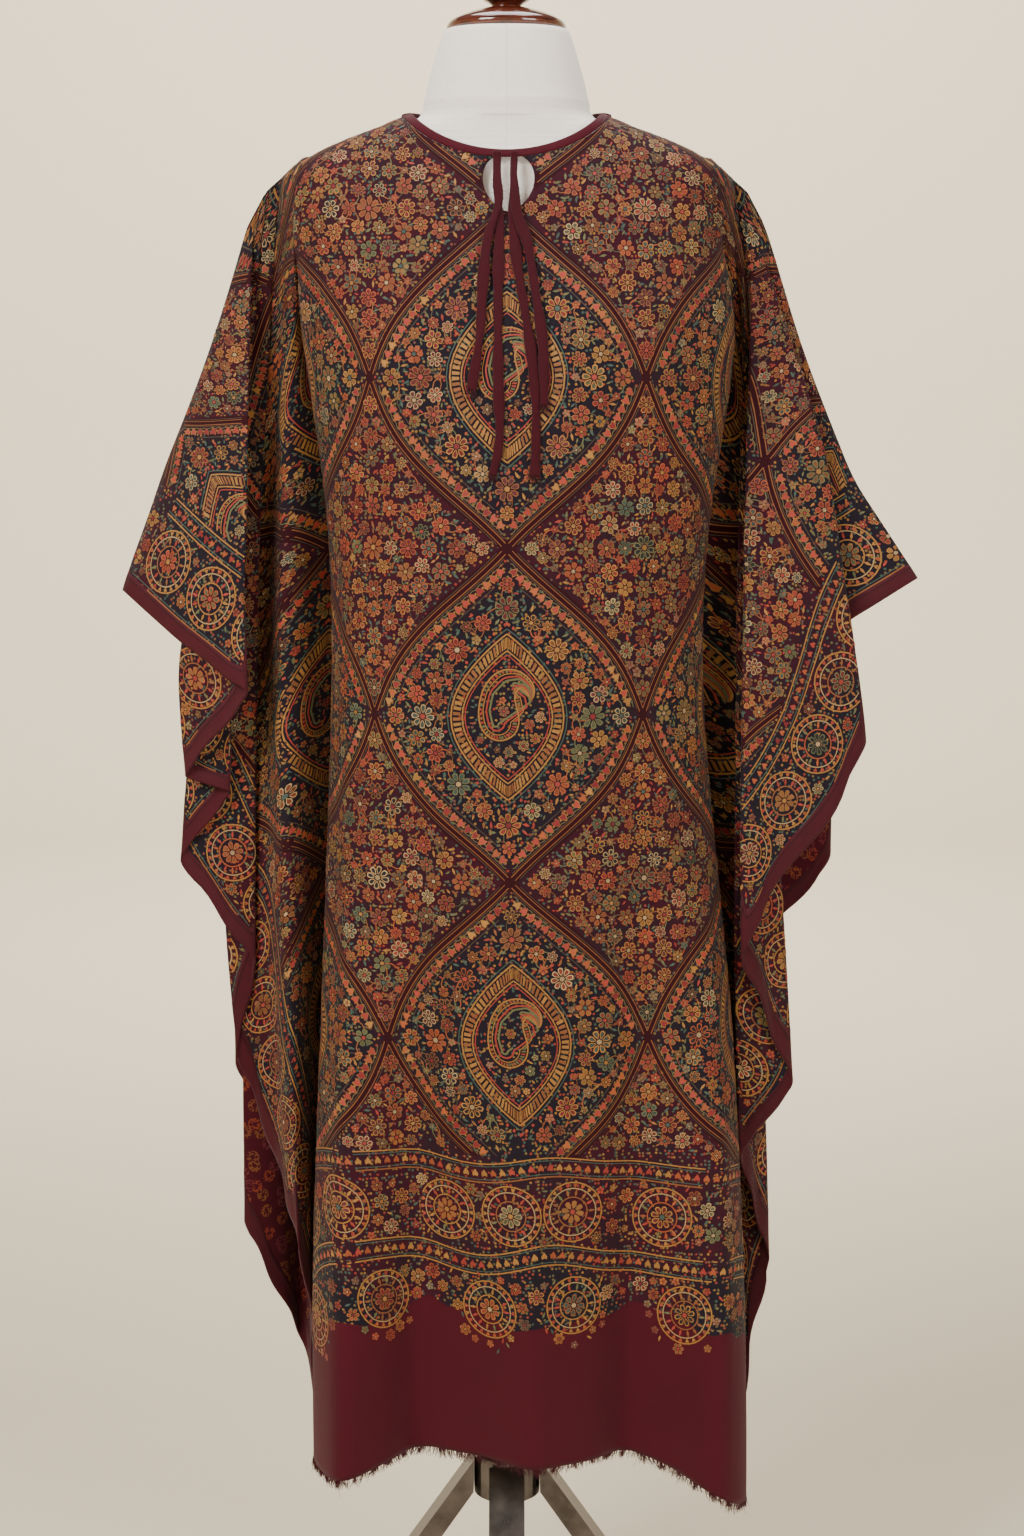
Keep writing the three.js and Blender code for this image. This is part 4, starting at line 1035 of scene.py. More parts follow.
def border_items(cloth, outer, rng):
    """The bands, roundels and small flowers along the free edges."""
    taken = {"at": np.zeros((0, 2)), "size": np.zeros(0)}

    def take(points, size):
        taken["at"] = np.vstack([taken["at"], points])
        taken["size"] = np.append(taken["size"], np.full(len(points), size))

    def keep(points, test):
        hem, edge, hit = cloth.zones(points)
        return hit & test(hem, edge)

    def clipped_line(line, width, colour, test, lift=0.34):
        ok = keep(line, test)
        start = None
        for k in range(len(line) + 1):
            if k < len(line) and ok[k]:
                start = k if start is None else start
            elif start is not None:
                if k - start > 2:
                    outer.line(line[start:k], width, colour, lift)
                start = None

    def row(line, pitch, size, names, test, shape=HEART, turn=0.0):
        points, angle, _ = along(line, pitch)
        ok = keep(points, test)
        points, angle = points[ok], angle[ok]
        if len(points):
            colours = colour_list(names, [4, 3, 2][: len(names)], len(points), rng)
            outer.place(shape, points, angle + turn, size, colours, 0.42)

    for line in cloth.wings:
        for distance, width, colour in WING_BANDS:
            clipped_line(offset_line(line, distance)[0], width, colour,
                         lambda hem, edge, start=distance - 3: (edge > start) & (hem > 110))
        row(offset_line(line, 86.5)[0], 8.6, 3.3, ["coral", "orange", "red"],
            lambda hem, edge: (edge > 83) & (hem > 112), turn=math.pi)
        points, _, _ = along(offset_line(line, 48)[0], 62)
        points = points[keep(points, lambda hem, edge: (edge > 40) & (hem > 128))]
        roundels(outer, points, 27, rng)
        take(points, 28.5)

    def off_wing(hem, edge):
        return (edge > 99) & (hem > 90)

    hem = cloth.hem
    sway = np.sin(run_of(hem) * 2 * math.pi / WAVE_PITCH)
    for base, wave, width, colour in HEM_BANDS:
        clipped_line(offset_line(hem, base + wave * sway)[0], width, colour, off_wing)
    for base, wave in ((195, 8), (280.5, 5)):
        row(offset_line(hem, base + wave * sway)[0], 9.0, 3.9, ["orange", "gold", "coral"], off_wing)
    lower = []
    for height, pitch, radius, first in ((150, 84, 27, 0.5), (239, 64, 28, 0.2)):
        points, _, spots = along(hem, pitch, first)
        side = values_at(spots, run_of(hem), offset_line(hem, 1)[1])
        wave = 5 * np.sin(spots * 2 * math.pi / WAVE_PITCH)
        points = points + side * (height + wave)[:, None]
        points = points[keep(points, lambda hem, edge: (edge > 112) & (hem > 100))]
        roundels(outer, points, radius, rng)
        lower = points if height < 200 else lower
        take(points, radius + 1.5)
    low, high = cloth.flat_points.min(axis=0), cloth.flat_points.max(axis=0)

    def inside(points, size):
        hem_at, edge_at, hit = cloth.zones(points)
        gap = np.hypot(*(points[:, None, k] - lower[None, :, k] for k in (0, 1))).min(axis=1)
        on_hem = ((hem_at > 150 + size) | (gap < 43 - size)) & (hem_at < 268 - size) & (edge_at > 99 + size)
        on_hem &= (np.abs(hem_at - 195) > 13 + size)
        near_wing = (edge_at > 19 + size) & (edge_at < 77 - size) & (hem_at > 112 + size)
        return hit & (on_hem | near_wing)

    for size, tries in ((8.4, 9000), (6.4, 12000), (4.6, 15000)):
        found = free_places(rng, tries, size, inside, taken, low, high)
        if found:
            flowers(outer, np.array(found), np.full(len(found), size), rng)
    size = 2.8
    found = free_places(rng, 16000, size, inside, taken, low, high)
    colours = colour_list(["sage", "teal", "gold", "coral"], [3, 3, 3, 2], len(found), rng)
    outer.place(LEAF, np.array(found), rng.uniform(0, 6.3, len(found)), size * 1.15, colours, 0.4)


def keyhole_half(z):
    """Half the keyhole's width at a height, in millimetres."""
    above = np.clip((z - KEYHOLE["wide_z"]) / (KEYHOLE["top_z"] - KEYHOLE["wide_z"]), 0, 1)
    below = np.clip((KEYHOLE["wide_z"] - z) / (KEYHOLE["wide_z"] - KEYHOLE["bottom_z"]), 0, 1)
    half = KEYHOLE["width"] / 2 * np.where(z > KEYHOLE["wide_z"], np.sqrt(1 - above ** 2), 1 - below ** 1.9)
    return np.where((z > KEYHOLE["top_z"]) | (z < KEYHOLE["bottom_z"]), -9, half)


def embroidery(cloth, look):
    """The field's flowers as one piece, and the lattice with the borders as another."""
    rng = np.random.default_rng(41 if cloth.facing == "front" else 42)
    inner, outer = Stitches(), Stitches()
    low, high = cloth.flat_points.min(axis=0), cloth.flat_points.max(axis=0)
    low, high = low - (0, LATTICE["centre_b"]), high - (0, LATTICE["centre_b"])
    columns, rows = (range(math.floor(low[k] / LATTICE[key]), math.ceil(high[k] / LATTICE[key]) + 1)
                     for k, key in enumerate(("wide", "high")))
    places = tiled(cell_places(rng), columns, rows)
    hem, edge, hit = cloth.zones(places[:, :2])
    sizes = places[:, 2]
    places = places[hit & (hem > FIELD_EDGE["hem"] + sizes) & (edge > FIELD_EDGE["wing"] + sizes)]
    blooms, leaves = places[places[:, 3] == 0], places[places[:, 3] == 1]
    stems(inner, blooms, rng)
    flowers(inner, blooms[:, :2], blooms[:, 2], rng)
    colours = colour_list(["sage", "teal", "gold", "coral", "ochre"], [4, 4, 3, 2, 2], len(leaves), rng)
    inner.place(LEAF, leaves[:, :2], rng.uniform(0, 6.3, len(leaves)), leaves[:, 2] * 1.2, colours, 0.4)
    grid = Stitches()
    diamonds(grid, columns, rows, rng)
    border_items(cloth, outer, rng)
    return [
        stitch_mesh(cloth, "field", [(inner, False)], look),
        stitch_mesh(cloth, "borders", [(grid, True), (outer, False)], look),
    ]


def shown_side(cloth, u, normal):
    """1 where the cloth's right side shows from the front, -1 where a wing's fold turns it away."""
    u, away = u.mean(axis=1), normal[..., 1].mean(axis=1) > 0.1
    on_wing = (u < cloth.net["left_seam"] - 2) | (u > cloth.net["right_seam"] + 2)
    return np.where((cloth.facing == "front") & on_wing & away, -1, 1)


def stitch_mesh(cloth, part, groups, look):
    """One piece of thread patches laid on the cloth. A group with clip ends where the lattice does."""
    points, starts, totals, colours, threads = [], [], [], [], []
    count = 0
    for group, clip in groups:
        for corners, patches in group.patches.items():
            flat = np.concatenate([patch[0] for patch in patches])
            shade = np.concatenate([patch[1] for patch in patches])
            lift = np.concatenate([patch[2] for patch in patches])
            thread = np.concatenate([patch[3] for patch in patches])
            low, high = cloth.flat_points.min(axis=0), cloth.flat_points.max(axis=0)
            near = ((flat.min(axis=1) > low) & (flat.max(axis=1) < high)).all(axis=1)
            flat, shade, lift, thread = flat[near], shade[near], lift[near], thread[near]
            u, v, hit = cloth.find(flat.reshape(-1, 2))
            ok = hit.copy()
            if clip:
                ok &= bilinear(cloth.net, cloth.hem_distance, u, v) > FIELD_EDGE["hem"]
                ok &= bilinear(cloth.net, cloth.wing_distance, u, v) > FIELD_EDGE["wing"]
            u, v = u.reshape(-1, corners), v.reshape(-1, corners)
            end = panel_end(cloth.net, u.ravel(), strip_width(cloth.net, u.ravel()) + 1).reshape(u.shape)
            ok = ok.reshape(-1, corners) & (v < end)
            ok &= (np.ptp(u, axis=1) < 2.2)[:, None] & (np.ptp(v, axis=1) < 1.5)[:, None]
            keep = ok.all(axis=1)
            u, v, shade, lift, thread = u[keep], v[keep], shade[keep], lift[keep], thread[keep]
            place, normal = cloth_spots(cloth.net, u, v)
            normal = normal * shown_side(cloth, u, normal)[:, None, None]
            place = place + normal * (CLOTH / 2 + lift[:, None, None])
            keep = np.ones(len(place), dtype=bool)
            if cloth.facing == "front":
                hole = keyhole_half(place[..., 2]) + 2.5 - np.abs(place[..., 0] - KEYHOLE["x"])
                keep = (hole < 0).all(axis=1)
                place, shade, thread = place[keep], shade[keep], thread[keep]
            turned = np.cross(place[:, 1] - place[:, 0], place[:, -1] - place[:, 0])
            back = (turned * normal[keep][:, 0]).sum(1) < 0
            place[back], thread[back] = place[back][:, ::-1], thread[back][:, ::-1]
            number = len(place)
            points.append(place.reshape(-1, 3))
            colours.append(np.repeat(shade, corners, axis=0))
            threads.append(thread.reshape(-1, 2))
            totals.append(np.full(number, corners))
            starts.append(count + np.arange(number) * corners)
            count += number * corners
    points, colours, threads = np.concatenate(points), np.concatenate(colours), np.concatenate(threads)
    totals, starts = np.concatenate(totals), np.concatenate(starts)
    name = f"{cloth.facing}_embroidery_{part}"
    mesh = bpy.data.meshes.new(name)
    mesh.vertices.add(len(points))
    mesh.vertices.foreach_set("co", to_frame(points).astype(np.float32).ravel())
    mesh.loops.add(len(points))
    mesh.loops.foreach_set("vertex_index", np.arange(len(points), dtype=np.int32))
    mesh.polygons.add(len(totals))
    mesh.polygons.foreach_set("loop_start", starts.astype(np.int32))
    mesh.update(calc_edges=True)
    tint = mesh.color_attributes.new(name="thread_colour", type="FLOAT_COLOR", domain="POINT")
    colours = np.column_stack([colours, np.ones(len(colours))])
    tint.data.foreach_set("color", colours.astype(np.float32).ravel())
    layer = mesh.uv_layers.new(name="UVMap")
    layer.data.foreach_set("uv", (threads / 1000).astype(np.float32).ravel())
    mesh.validate()
    mesh.materials.append(look)
    piece = linked(name, mesh)
    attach(piece, "root")
    return piece


class Look:
    """A material built from nodes."""

    def __init__(self, name, **values):
        self.material = bpy.data.materials.new(name)
        self.material.use_nodes = True
        self.nodes, self.links = self.material.node_tree.nodes, self.material.node_tree.links
        self.shader = self.nodes["Principled BSDF"]
        for key, value in values.items():
            self.shader.inputs[key.replace("_", " ")].default_value = value

    def node(self, kind, inputs=None, **settings):
        made = self.nodes.new(kind)
        for key, value in settings.items():
            setattr(made, key, value)
        for key, value in (inputs or {}).items():
            if isinstance(value, bpy.types.NodeSocket):
                self.links.new(value, made.inputs[key])
            else:
                made.inputs[key].default_value = value
        return made

    def uv(self):
        return self.node("ShaderNodeUVMap", uv_map="UVMap").outputs["UV"]

    def parts(self, place):
        return self.node("ShaderNodeSeparateXYZ", {0: place}).outputs

    def attribute(self, name):
        return self.node("ShaderNodeAttribute", attribute_name=name).outputs["Fac"]

    def math(self, operation, a, b=0.0, c=0.0):
        return self.node("ShaderNodeMath", {0: a, 1: b, 2: c}, operation=operation).outputs[0]

    def mix(self, share, a, b):
        made = self.node("ShaderNodeMix", data_type="RGBA")
        for index, value in ((0, share), (6, a), (7, b)):
            if isinstance(value, bpy.types.NodeSocket):
                self.links.new(value, made.inputs[index])
            else:
                made.inputs[index].default_value = value
        return made.outputs[2]

    def noise(self, scale, detail=3.0, vector=None):
        inputs = {"Scale": scale, "Detail": detail}
        if vector is not None:
            inputs["Vector"] = vector
        return self.node("ShaderNodeTexNoise", inputs).outputs["Fac"]

    def steps(self, value, *stops):
        ramp_node = self.node("ShaderNodeValToRGB", {"Fac": value})
        elements = ramp_node.color_ramp.elements
        while len(elements) < len(stops):
            elements.new(0.5)
        for element, (position, colour) in zip(elements, stops):
            element.position, element.color = position, colour
        return ramp_node.outputs["Color"]

    def bump(self, height, strength, distance):
        made = self.node("ShaderNodeBump", {"Height": height, "Strength": strength, "Distance": distance})
        self.links.new(made.outputs["Normal"], self.shader.inputs["Normal"])

    def colour(self, socket):
        self.links.new(socket, self.shader.inputs["Base Color"])


def rgba(colour, share=1.0):
    return (*(np.asarray(colour, float) * share), 1.0)


MAROON = srgb(66, 8, 23)
DARK = srgb(50, 9, 24)
NAVY = srgb(23, 17, 27)


def twill(look, pitch, strength):
    """Fine slanting ribs from the flat lay-out, in metres."""
    place = look.uv()
    parts = look.parts(place)
    slant = look.math("ADD", parts[0], parts[1])
    ribs = look.math("SINE", look.math("MULTIPLY", slant, 2 * math.pi / pitch))
    fuzz = look.noise(900.0, 2.0)
    height = look.math("ADD", look.math("MULTIPLY", ribs, 0.4), fuzz)
    look.bump(height, strength, 0.0004)
    return place


def lattice_depth(look, place):
    """How far a place of the flat lay-out is inside its diamond, in millimetres."""
    wide, high, centre, bulge = (LATTICE[key] for key in ("wide", "high", "centre_b", "bulge"))
    parts = look.parts(place)
    shares = []
    for index, start, size in ((0, 0.0, wide), (1, centre, high)):
        cell = look.math("MULTIPLY_ADD", parts[index], 1000 / size, 0.5 - start / size)
        shares.append(look.math("ABSOLUTE", look.math("SUBTRACT", look.math("FRACT", cell), 0.5)))
    reach = wide * high / 2 / math.hypot(wide, high)
    straight = look.math("MULTIPLY_ADD", look.math("ADD", *shares), -2 * reach, reach)
    share = look.math("POWER", look.math("MULTIPLY", shares[0], 2.0), 1.5)
    bowed = look.math("SINE", look.math("MULTIPLY", share, math.pi))
    return look.math("MULTIPLY_ADD", bowed, bulge, straight)


def embroidered_ground():
    """The cloth under the embroidery, dark where it is worked and plain maroon at the hem."""
    look = Look("embroidered_ground", Specular_IOR_Level=0.15, Roughness=0.86, Sheen_Weight=0.06,
                Sheen_Roughness=0.5)
    place = twill(look, 0.0011, 0.35)
    hem = look.attribute("hem_mm")
    wing = look.attribute("wing_mm")
    uneven = look.math("MULTIPLY_ADD", look.noise(14.0, 2.0, place), 60.0, hem)
    worked = look.math("GREATER_THAN", uneven, 172.0)
    patches = look.steps(look.noise(26.0, 2.0, place), (0.44, (0, 0, 0, 1)), (0.60, (1, 1, 1, 1)))
    depth = lattice_depth(look, place)
    field = look.math("MULTIPLY", look.math("GREATER_THAN", hem, FIELD_EDGE["hem"]),
                      look.math("GREATER_THAN", wing, FIELD_EDGE["wing"]))
    within = look.steps(look.math("MULTIPLY_ADD", depth, 0.02, 0.5),
                        (0.46, (0, 0, 0, 1)), (0.9, (1, 1, 1, 1)))
    band = look.math("MULTIPLY", look.math("LESS_THAN", look.math("ABSOLUTE", depth), 4.6), field)
    ground = look.mix(look.math("MULTIPLY_ADD", patches, 0.55, 0.0), rgba(DARK), rgba(NAVY))
    ground = look.mix(within, ground, rgba(NAVY))
    ground = look.mix(band, ground, rgba(MAROON, 0.42))
    cells = look.node("ShaderNodeTexVoronoi", {"Vector": place, "Scale": 300.0, "Randomness": 0.9},
                      voronoi_dimensions="2D")
    dots = look.math("LESS_THAN", cells.outputs["Distance"], 0.36)
    pick = look.node("ShaderNodeSeparateColor", {0: cells.outputs["Color"]})
    shown = look.math("MULTIPLY", dots, look.math("LESS_THAN", pick.outputs[1], 0.42))
    shown = look.math("MULTIPLY", shown, look.math("SUBTRACT", worked, band))
    tint = look.steps(pick.outputs[0], (0.0, rgba(THREADS["gold"], 0.8)), (0.3, rgba(THREADS["sage"], 0.8)),
                      (0.55, rgba(THREADS["coral"], 0.8)), (0.8, rgba(THREADS["teal"], 0.9)))
    plain = look.mix(look.noise(9.0, 3.0, place), rgba(MAROON, 0.86), rgba(MAROON, 1.12))
    base = look.mix(worked, plain, ground)
    look.colour(look.mix(shown, base, tint))
    return look.material


def reverse_cloth():
    """The inside of the cloth, with the back of the stitches as a broken scatter."""
    look = Look("reverse_cloth", Specular_IOR_Level=0.15, Roughness=0.92, Sheen_Weight=0.06)
    place = twill(look, 0.0011, 0.35)
    cells = look.node("ShaderNodeTexVoronoi", {"Vector": place, "Scale": 62.0, "Randomness": 0.7},
                      voronoi_dimensions="2D")
    pick = look.node("ShaderNodeSeparateColor", {0: cells.outputs["Color"]})
    edge = look.math("LESS_THAN", cells.outputs["Distance"], 0.40)
    ring = look.math("GREATER_THAN", cells.outputs["Distance"], 0.13)
    hem = look.attribute("hem_mm")
    worked = look.math("GREATER_THAN", hem, 118.0)
    shown = look.math("MULTIPLY", look.math("MULTIPLY", edge, ring), worked)
    speckle = look.math("GREATER_THAN", look.noise(420.0, 1.0, place), 0.47)
    tint = look.steps(pick.outputs[0], (0.0, rgba(THREADS["coral"], 0.55)),
                      (0.5, rgba(THREADS["ochre"], 0.6)), (0.8, rgba(THREADS["rose"], 0.7)))
    look.colour(look.mix(look.math("MULTIPLY", shown, speckle), rgba(MAROON, 0.75), tint))
    return look.material


def thread_look():
    """Silky threads in the colour of each patch, with painted shade: each strand's ridge painted lighter and
    the groove between strands painted darker.
    """
    look = Look("embroidery_thread", Specular_IOR_Level=0.3, Roughness=0.6, Sheen_Weight=0.05,
                Sheen_Roughness=0.4)
    place = look.uv()
    parts = look.parts(place)
    tint = look.node("ShaderNodeVertexColor", layer_name="thread_colour").outputs["Color"]
    lines = look.math("SINE", look.math("MULTIPLY", parts[0], 2 * math.pi / 0.0007))
    # painted shade: the colour follows the strands' ridges, lighter on their tops and darker in the grooves
    # between them, on top of the bump
    shade = look.math("MULTIPLY_ADD", lines, 0.10, 0.95)
    speckle = look.math("MULTIPLY_ADD", look.noise(700.0, 2.0), 0.5, 0.72)
    value = look.math("MULTIPLY", shade, speckle)
    scaled = look.node("ShaderNodeVectorMath", {0: tint}, operation="SCALE")
    look.links.new(value, scaled.inputs["Scale"])
    look.colour(scaled.outputs[0])
    look.bump(lines, 0.5, 0.0002)
    return look.material


def maroon_look(name, share, pitch=0.0009):
    """Plain maroon twill, as bright as the share says."""
    look = Look(name, Specular_IOR_Level=0.15, Roughness=0.75, Sheen_Weight=0.08, Sheen_Roughness=0.4)
    place = twill(look, pitch, 0.45)
    uneven = look.noise(60.0, 3.0, place)
    look.colour(look.mix(uneven, rgba(MAROON, share * 0.82), rgba(MAROON, share * 1.15)))
    return look.material


def strip_look():
    """Maroon strip whose second coordinate runs from its inner edge, with a row of stitches."""
    look = Look("edge_strip", Specular_IOR_Level=0.2, Roughness=0.66, Sheen_Weight=0.08, Sheen_Roughness=0.4)
    place = look.uv()
    parts = look.parts(place)
    line = look.math("LESS_THAN", look.math("ABSOLUTE", look.math("SUBTRACT", parts[1], 0.0022)), 0.0005)
    dash = look.math("GREATER_THAN", look.math("FRACT", look.math("MULTIPLY", parts[0], 380.0)), 0.3)
    stitch = look.math("MULTIPLY", line, dash)
    cloth_tint = look.mix(look.noise(80.0, 3.0, place), rgba(MAROON, 0.72), rgba(MAROON, 1.05))
    look.colour(look.mix(stitch, cloth_tint, rgba(MAROON, 0.4)))
    ribs = look.math("SINE", look.math("MULTIPLY", look.math("ADD", parts[0], parts[1]), 7000.0))
    look.bump(look.math("SUBTRACT", look.math("MULTIPLY", ribs, 0.3), stitch), 0.5, 0.0006)
    return look.material


def linen_look():
    look = Look("linen_cover", Roughness=0.9, Sheen_Weight=0.15)
    place = look.node("ShaderNodeTexCoord").outputs["Object"]
    parts = look.parts(place)
    across = look.math("SINE", look.math("MULTIPLY", parts[0], 5200.0))
    up = look.math("SINE", look.math("MULTIPLY", parts[2], 5200.0))
    slubs = look.noise(300.0, 4.0, place)
    look.colour(look.mix(slubs, rgba(srgb(234, 226, 217)), rgba(srgb(250, 244, 237))))
    look.bump(look.math("ADD", look.math("MULTIPLY", across, up), slubs), 0.25, 0.0004)
    return look.material


def wood_look():
    look = Look("dark_wood", Roughness=0.16, Coat_Weight=0.8, Coat_Roughness=0.05)
    place = look.node("ShaderNodeTexCoord").outputs["Object"]
    turned = look.node("ShaderNodeMapping", {0: place, "Scale": (4.0, 4.0, 60.0)}).outputs[0]
    grain = look.noise(9.0, 6.0, turned)
    look.colour(look.steps(grain, (0.3, rgba(srgb(44, 18, 12))), (0.55, rgba(srgb(88, 38, 24))),
                           (0.75, rgba(srgb(58, 24, 16)))))
    look.bump(grain, 0.05, 0.0004)
    return look.material


def steel_look():
    look = Look("grey_steel", Metallic=0.85, Roughness=0.3)
    place = look.node("ShaderNodeTexCoord").outputs["Object"]
    cloud = look.noise(40.0, 4.0, place)
    look.colour(look.steps(cloud, (0.3, rgba(srgb(74, 68, 65))), (0.7, rgba(srgb(110, 103, 99)))))
    look.links.new(look.math("MULTIPLY_ADD", cloud, 0.2, 0.2), look.shader.inputs["Roughness"])
    look.bump(look.noise(900.0, 2.0, place), 0.06, 0.0002)
    return look.material


looks = {
    "ground": embroidered_ground(), "reverse": reverse_cloth(), "thread": thread_look(),
    "maroon": maroon_look("maroon_twill", 1.0), "tie": maroon_look("tie_cloth", 0.72, 0.0007),
    "strip": strip_look(), "linen": linen_look(), "wood": wood_look(), "steel": steel_look(),
}


PANEL_GRID = {"quick": (170, 120), "full": (250, 180)}


def column_places(net, wanted):
    """Columns spread by how far apart the sheet's lines lie and how sharply it turns."""
    u = np.linspace(0, net["last_u"], net["last_u"] * 20 + 1)
    middle = [sheet_points(net, u, np.full(u.shape, v)) for v in (8.0, 11.0, 14.0)]
    cost = np.zeros(len(u) - 1)
    for points in middle:
        step = np.diff(points, axis=0)
        length = np.linalg.norm(step, axis=1)
        way = step / (length[:, None] + 1e-9)
        turn = np.zeros(len(length))
        turn[1:] = np.linalg.norm(np.diff(way, axis=0), axis=1)
        cost += length / 420 + turn / 9 + 0.0016
    run = np.concatenate([[0], np.cumsum(cost)])
    return np.interp(np.linspace(0, run[-1], wanted), run, u)


def make_panel(cloth):
    """A sheet's panel as a closed wall, with its distances from the free edges on it."""
    net = cloth.net
    wanted, rows = PANEL_GRID[DETAIL]
    u = column_places(net, wanted)
    end = panel_end(net, u, strip_width(net, u))
    share = np.linspace(0, 1, rows)
    share = share + 0.10 * share * (share - 1)
    grid_v = share[None, :] * end[:, None]
    grid_u = np.repeat(u[:, None], rows, axis=1)
    point, normal = cloth_spots(net, grid_u, grid_v)
    sides = [looks["ground"], looks["reverse"]]
    flat = cloth.flat_at(grid_u, grid_v) / 1000
    piece = wall_object(f"{cloth.facing}_cloth", point, normal, CLOTH, sides, flat)
    hem = bilinear(net, cloth.hem_distance, grid_u, grid_v).ravel()
    wing = bilinear(net, cloth.wing_distance, grid_u, grid_v).ravel()
    for label, values in (("hem_mm", hem), ("wing_mm", wing)):
        field = piece.data.attributes.new(label, "FLOAT", "POINT")
        field.data.foreach_set("value", np.concatenate([values, values]).astype(np.float32))
    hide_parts(f"{cloth.facing}_panel")
    quads = (grid_u.shape[0] - 1) * (rows - 1)
    corner = np.stack([grid_u[:-1, :-1].ravel(), grid_u[1:, 1:].ravel()], axis=1)
    looking = np.stack([normal[:-1, :-1].reshape(-1, 3), normal[1:, 1:].reshape(-1, 3)], axis=1)
    turned = shown_side(cloth, corner, looking) < 0
    index = np.zeros(len(piece.data.polygons), dtype=np.int32)
    piece.data.polygons.foreach_get("material_index", index)
    index[quads:2 * quads][turned] = 0
    piece.data.polygons.foreach_set("material_index", index)
    return piece


def cut_keyhole(piece):
    """Cuts the drop-shaped hole below the neck out of the front."""
    x, top, wide, bottom, width = (KEYHOLE[key] for key in ("x", "top_z", "wide_z", "bottom_z", "width"))
    legs = [
        ((x, top), (x + width * 0.3, top), (x + width / 2, wide + 14), (x + width / 2, wide)),
        ((x + width / 2, wide), (x + width / 2, wide - 16), (x + 8, bottom), (x, bottom)),
        ((x, bottom), (x - 8, bottom), (x - width / 2, wide - 16), (x - width / 2, wide)),
        ((x - width / 2, wide), (x - width / 2, wide + 14), (x - width * 0.3, top), (x, top)),
    ]
    t = np.linspace(0, 1, 13)[:-1, None]
    outline = np.concatenate([
        (1 - t) ** 3 * a + 3 * (1 - t) ** 2 * t * b + 3 * (1 - t) * t ** 2 * c + t ** 3 * d
        for a, b, c, d in np.array(legs)
    ])
    count = len(outline)
    points = [(a, y, b) for y in (-140.0, -50.0) for a, b in outline]
    faces = [tuple(range(count)), tuple(reversed(range(count, 2 * count)))]
    faces += [(k, k + count, (k + 1) % count + count, (k + 1) % count) for k in range(count)]
    mesh = bpy.data.meshes.new("keyhole_cutter")
    mesh.from_pydata(to_frame(points).tolist(), [], faces)
    cutter = linked("keyhole_cutter", mesh)
    tidy_normals(cutter)
    cut = piece.modifiers.new("keyhole", "BOOLEAN")
    cut.object, cut.operation, cut.solver = cutter, "DIFFERENCE", "EXACT"
    bpy.context.view_layer.objects.active = piece
    bpy.ops.object.modifier_apply(modifier=cut.name)
    bpy.data.objects.remove(cutter)


def make_strip(cloth, side):
    """The maroon strip along a wing's free edge, lapped a little over the panel's edge."""
    net = cloth.net
    first, last = (0, net["left_seam"]) if side == "left" else (net["right_seam"], net["last_u"])
    u = column_places(net, 520)
    u = u[(u >= first) & (u <= last)]
    width = strip_width(net, u)
    u, width = u[width > STRIP * 0.4], width[width > STRIP * 0.4]
    start = panel_end(net, u, width + STRIP_LAP)
    rows = 7
    share = np.linspace(0, 1, rows)
    grid_v = start[:, None] + (LAST_V - start[:, None]) * share
    grid_u = np.repeat(u[:, None], rows, axis=1)
    point, normal = cloth_spots(net, grid_u, grid_v)
    point = point + normal * (0.25 * np.sin(np.pi * share))[None, :, None]
    run = run_of(point[:, rows // 2])
    flat = np.stack([np.repeat(run[:, None], rows, axis=1), share[None, :] * width[:, None]], axis=-1)
    piece = wall_object(f"{cloth.facing}_edging_{side}", point, normal, 1.5, looks["strip"], flat / 1000)
    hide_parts(f"{cloth.facing}_edge_{side}")
    return piece


def tube(points, radii, sides, normals):
    """Oval rings round a path: radii are half its width and half its thickness along the normals."""
    side = unit(np.cross(unit(np.gradient(points, axis=0)), normals))
    cos, sin = np.cos(circle(sides))[:, None], np.sin(circle(sides))[:, None]
    rings = []
    for k in range(len(points)):
        wide, thick = radii[k]
        rings.append(points[k] + side[k] * (wide * cos) + normals[k] * (thick * sin))
    return np.array(rings)


def binding_piece(cloths):
    """The band round the neck, one ring of both sheets' upper edges. Also gives its length."""
    outer, inward, normals = [], [], []
    for cloth in cloths:
        net = cloth.net
        first, last = (net["left_seam"] + 2 + k for k in NECK_LINES)
        u = np.linspace(first, last, 70)
        if cloth.facing == "back":
            u = u[::-1][1:-1]
        v = np.zeros(len(u))
        point, normal = cloth_spots(net, u, v)
        across = cloth_points(net, u + 0.03, v)[0] - cloth_points(net, u - 0.03, v)[0]
        into = unit(np.cross(across, normal))
        middle = np.array([CENTRE_X, 0, 0]) + point * (0, 0, 1) + (0, 0, 20)
        into *= np.sign((into * (middle - point)).sum(1))[:, None]
        outer.append(point)
        inward.append(into)
        normals.append(normal)
    outer, inward, normals = np.concatenate(outer), np.concatenate(inward), np.concatenate(normals)
    sides = 12
    turn = circle(sides)
    half = BINDING["width"] / 2
    centre = outer + inward * (half + SEAM_GAP)
    wide = half * np.sign(np.cos(turn)) * np.abs(np.cos(turn)) ** 0.7
    thick = BINDING["thick"] / 2 * np.sin(turn)
    rings = centre[:, None] + inward[:, None] * wide[None, :, None] + normals[:, None] * thick[None, :, None]
    count = len(rings)
    run = run_of(centre)
    uv = np.stack([np.repeat(run[:, None], sides, axis=1), np.tile(turn * 1.5, (count, 1))], axis=-1)
    uv = uv.reshape(-1, 2) / 1000
    faces = ring_faces(count, sides, closed=True)
    piece = mesh_object("neck_band", rings.reshape(-1, 3), faces, looks["maroon"], uv=uv)
    tidy_normals(piece)
    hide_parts("neck_binding")
    return piece, run[-1]


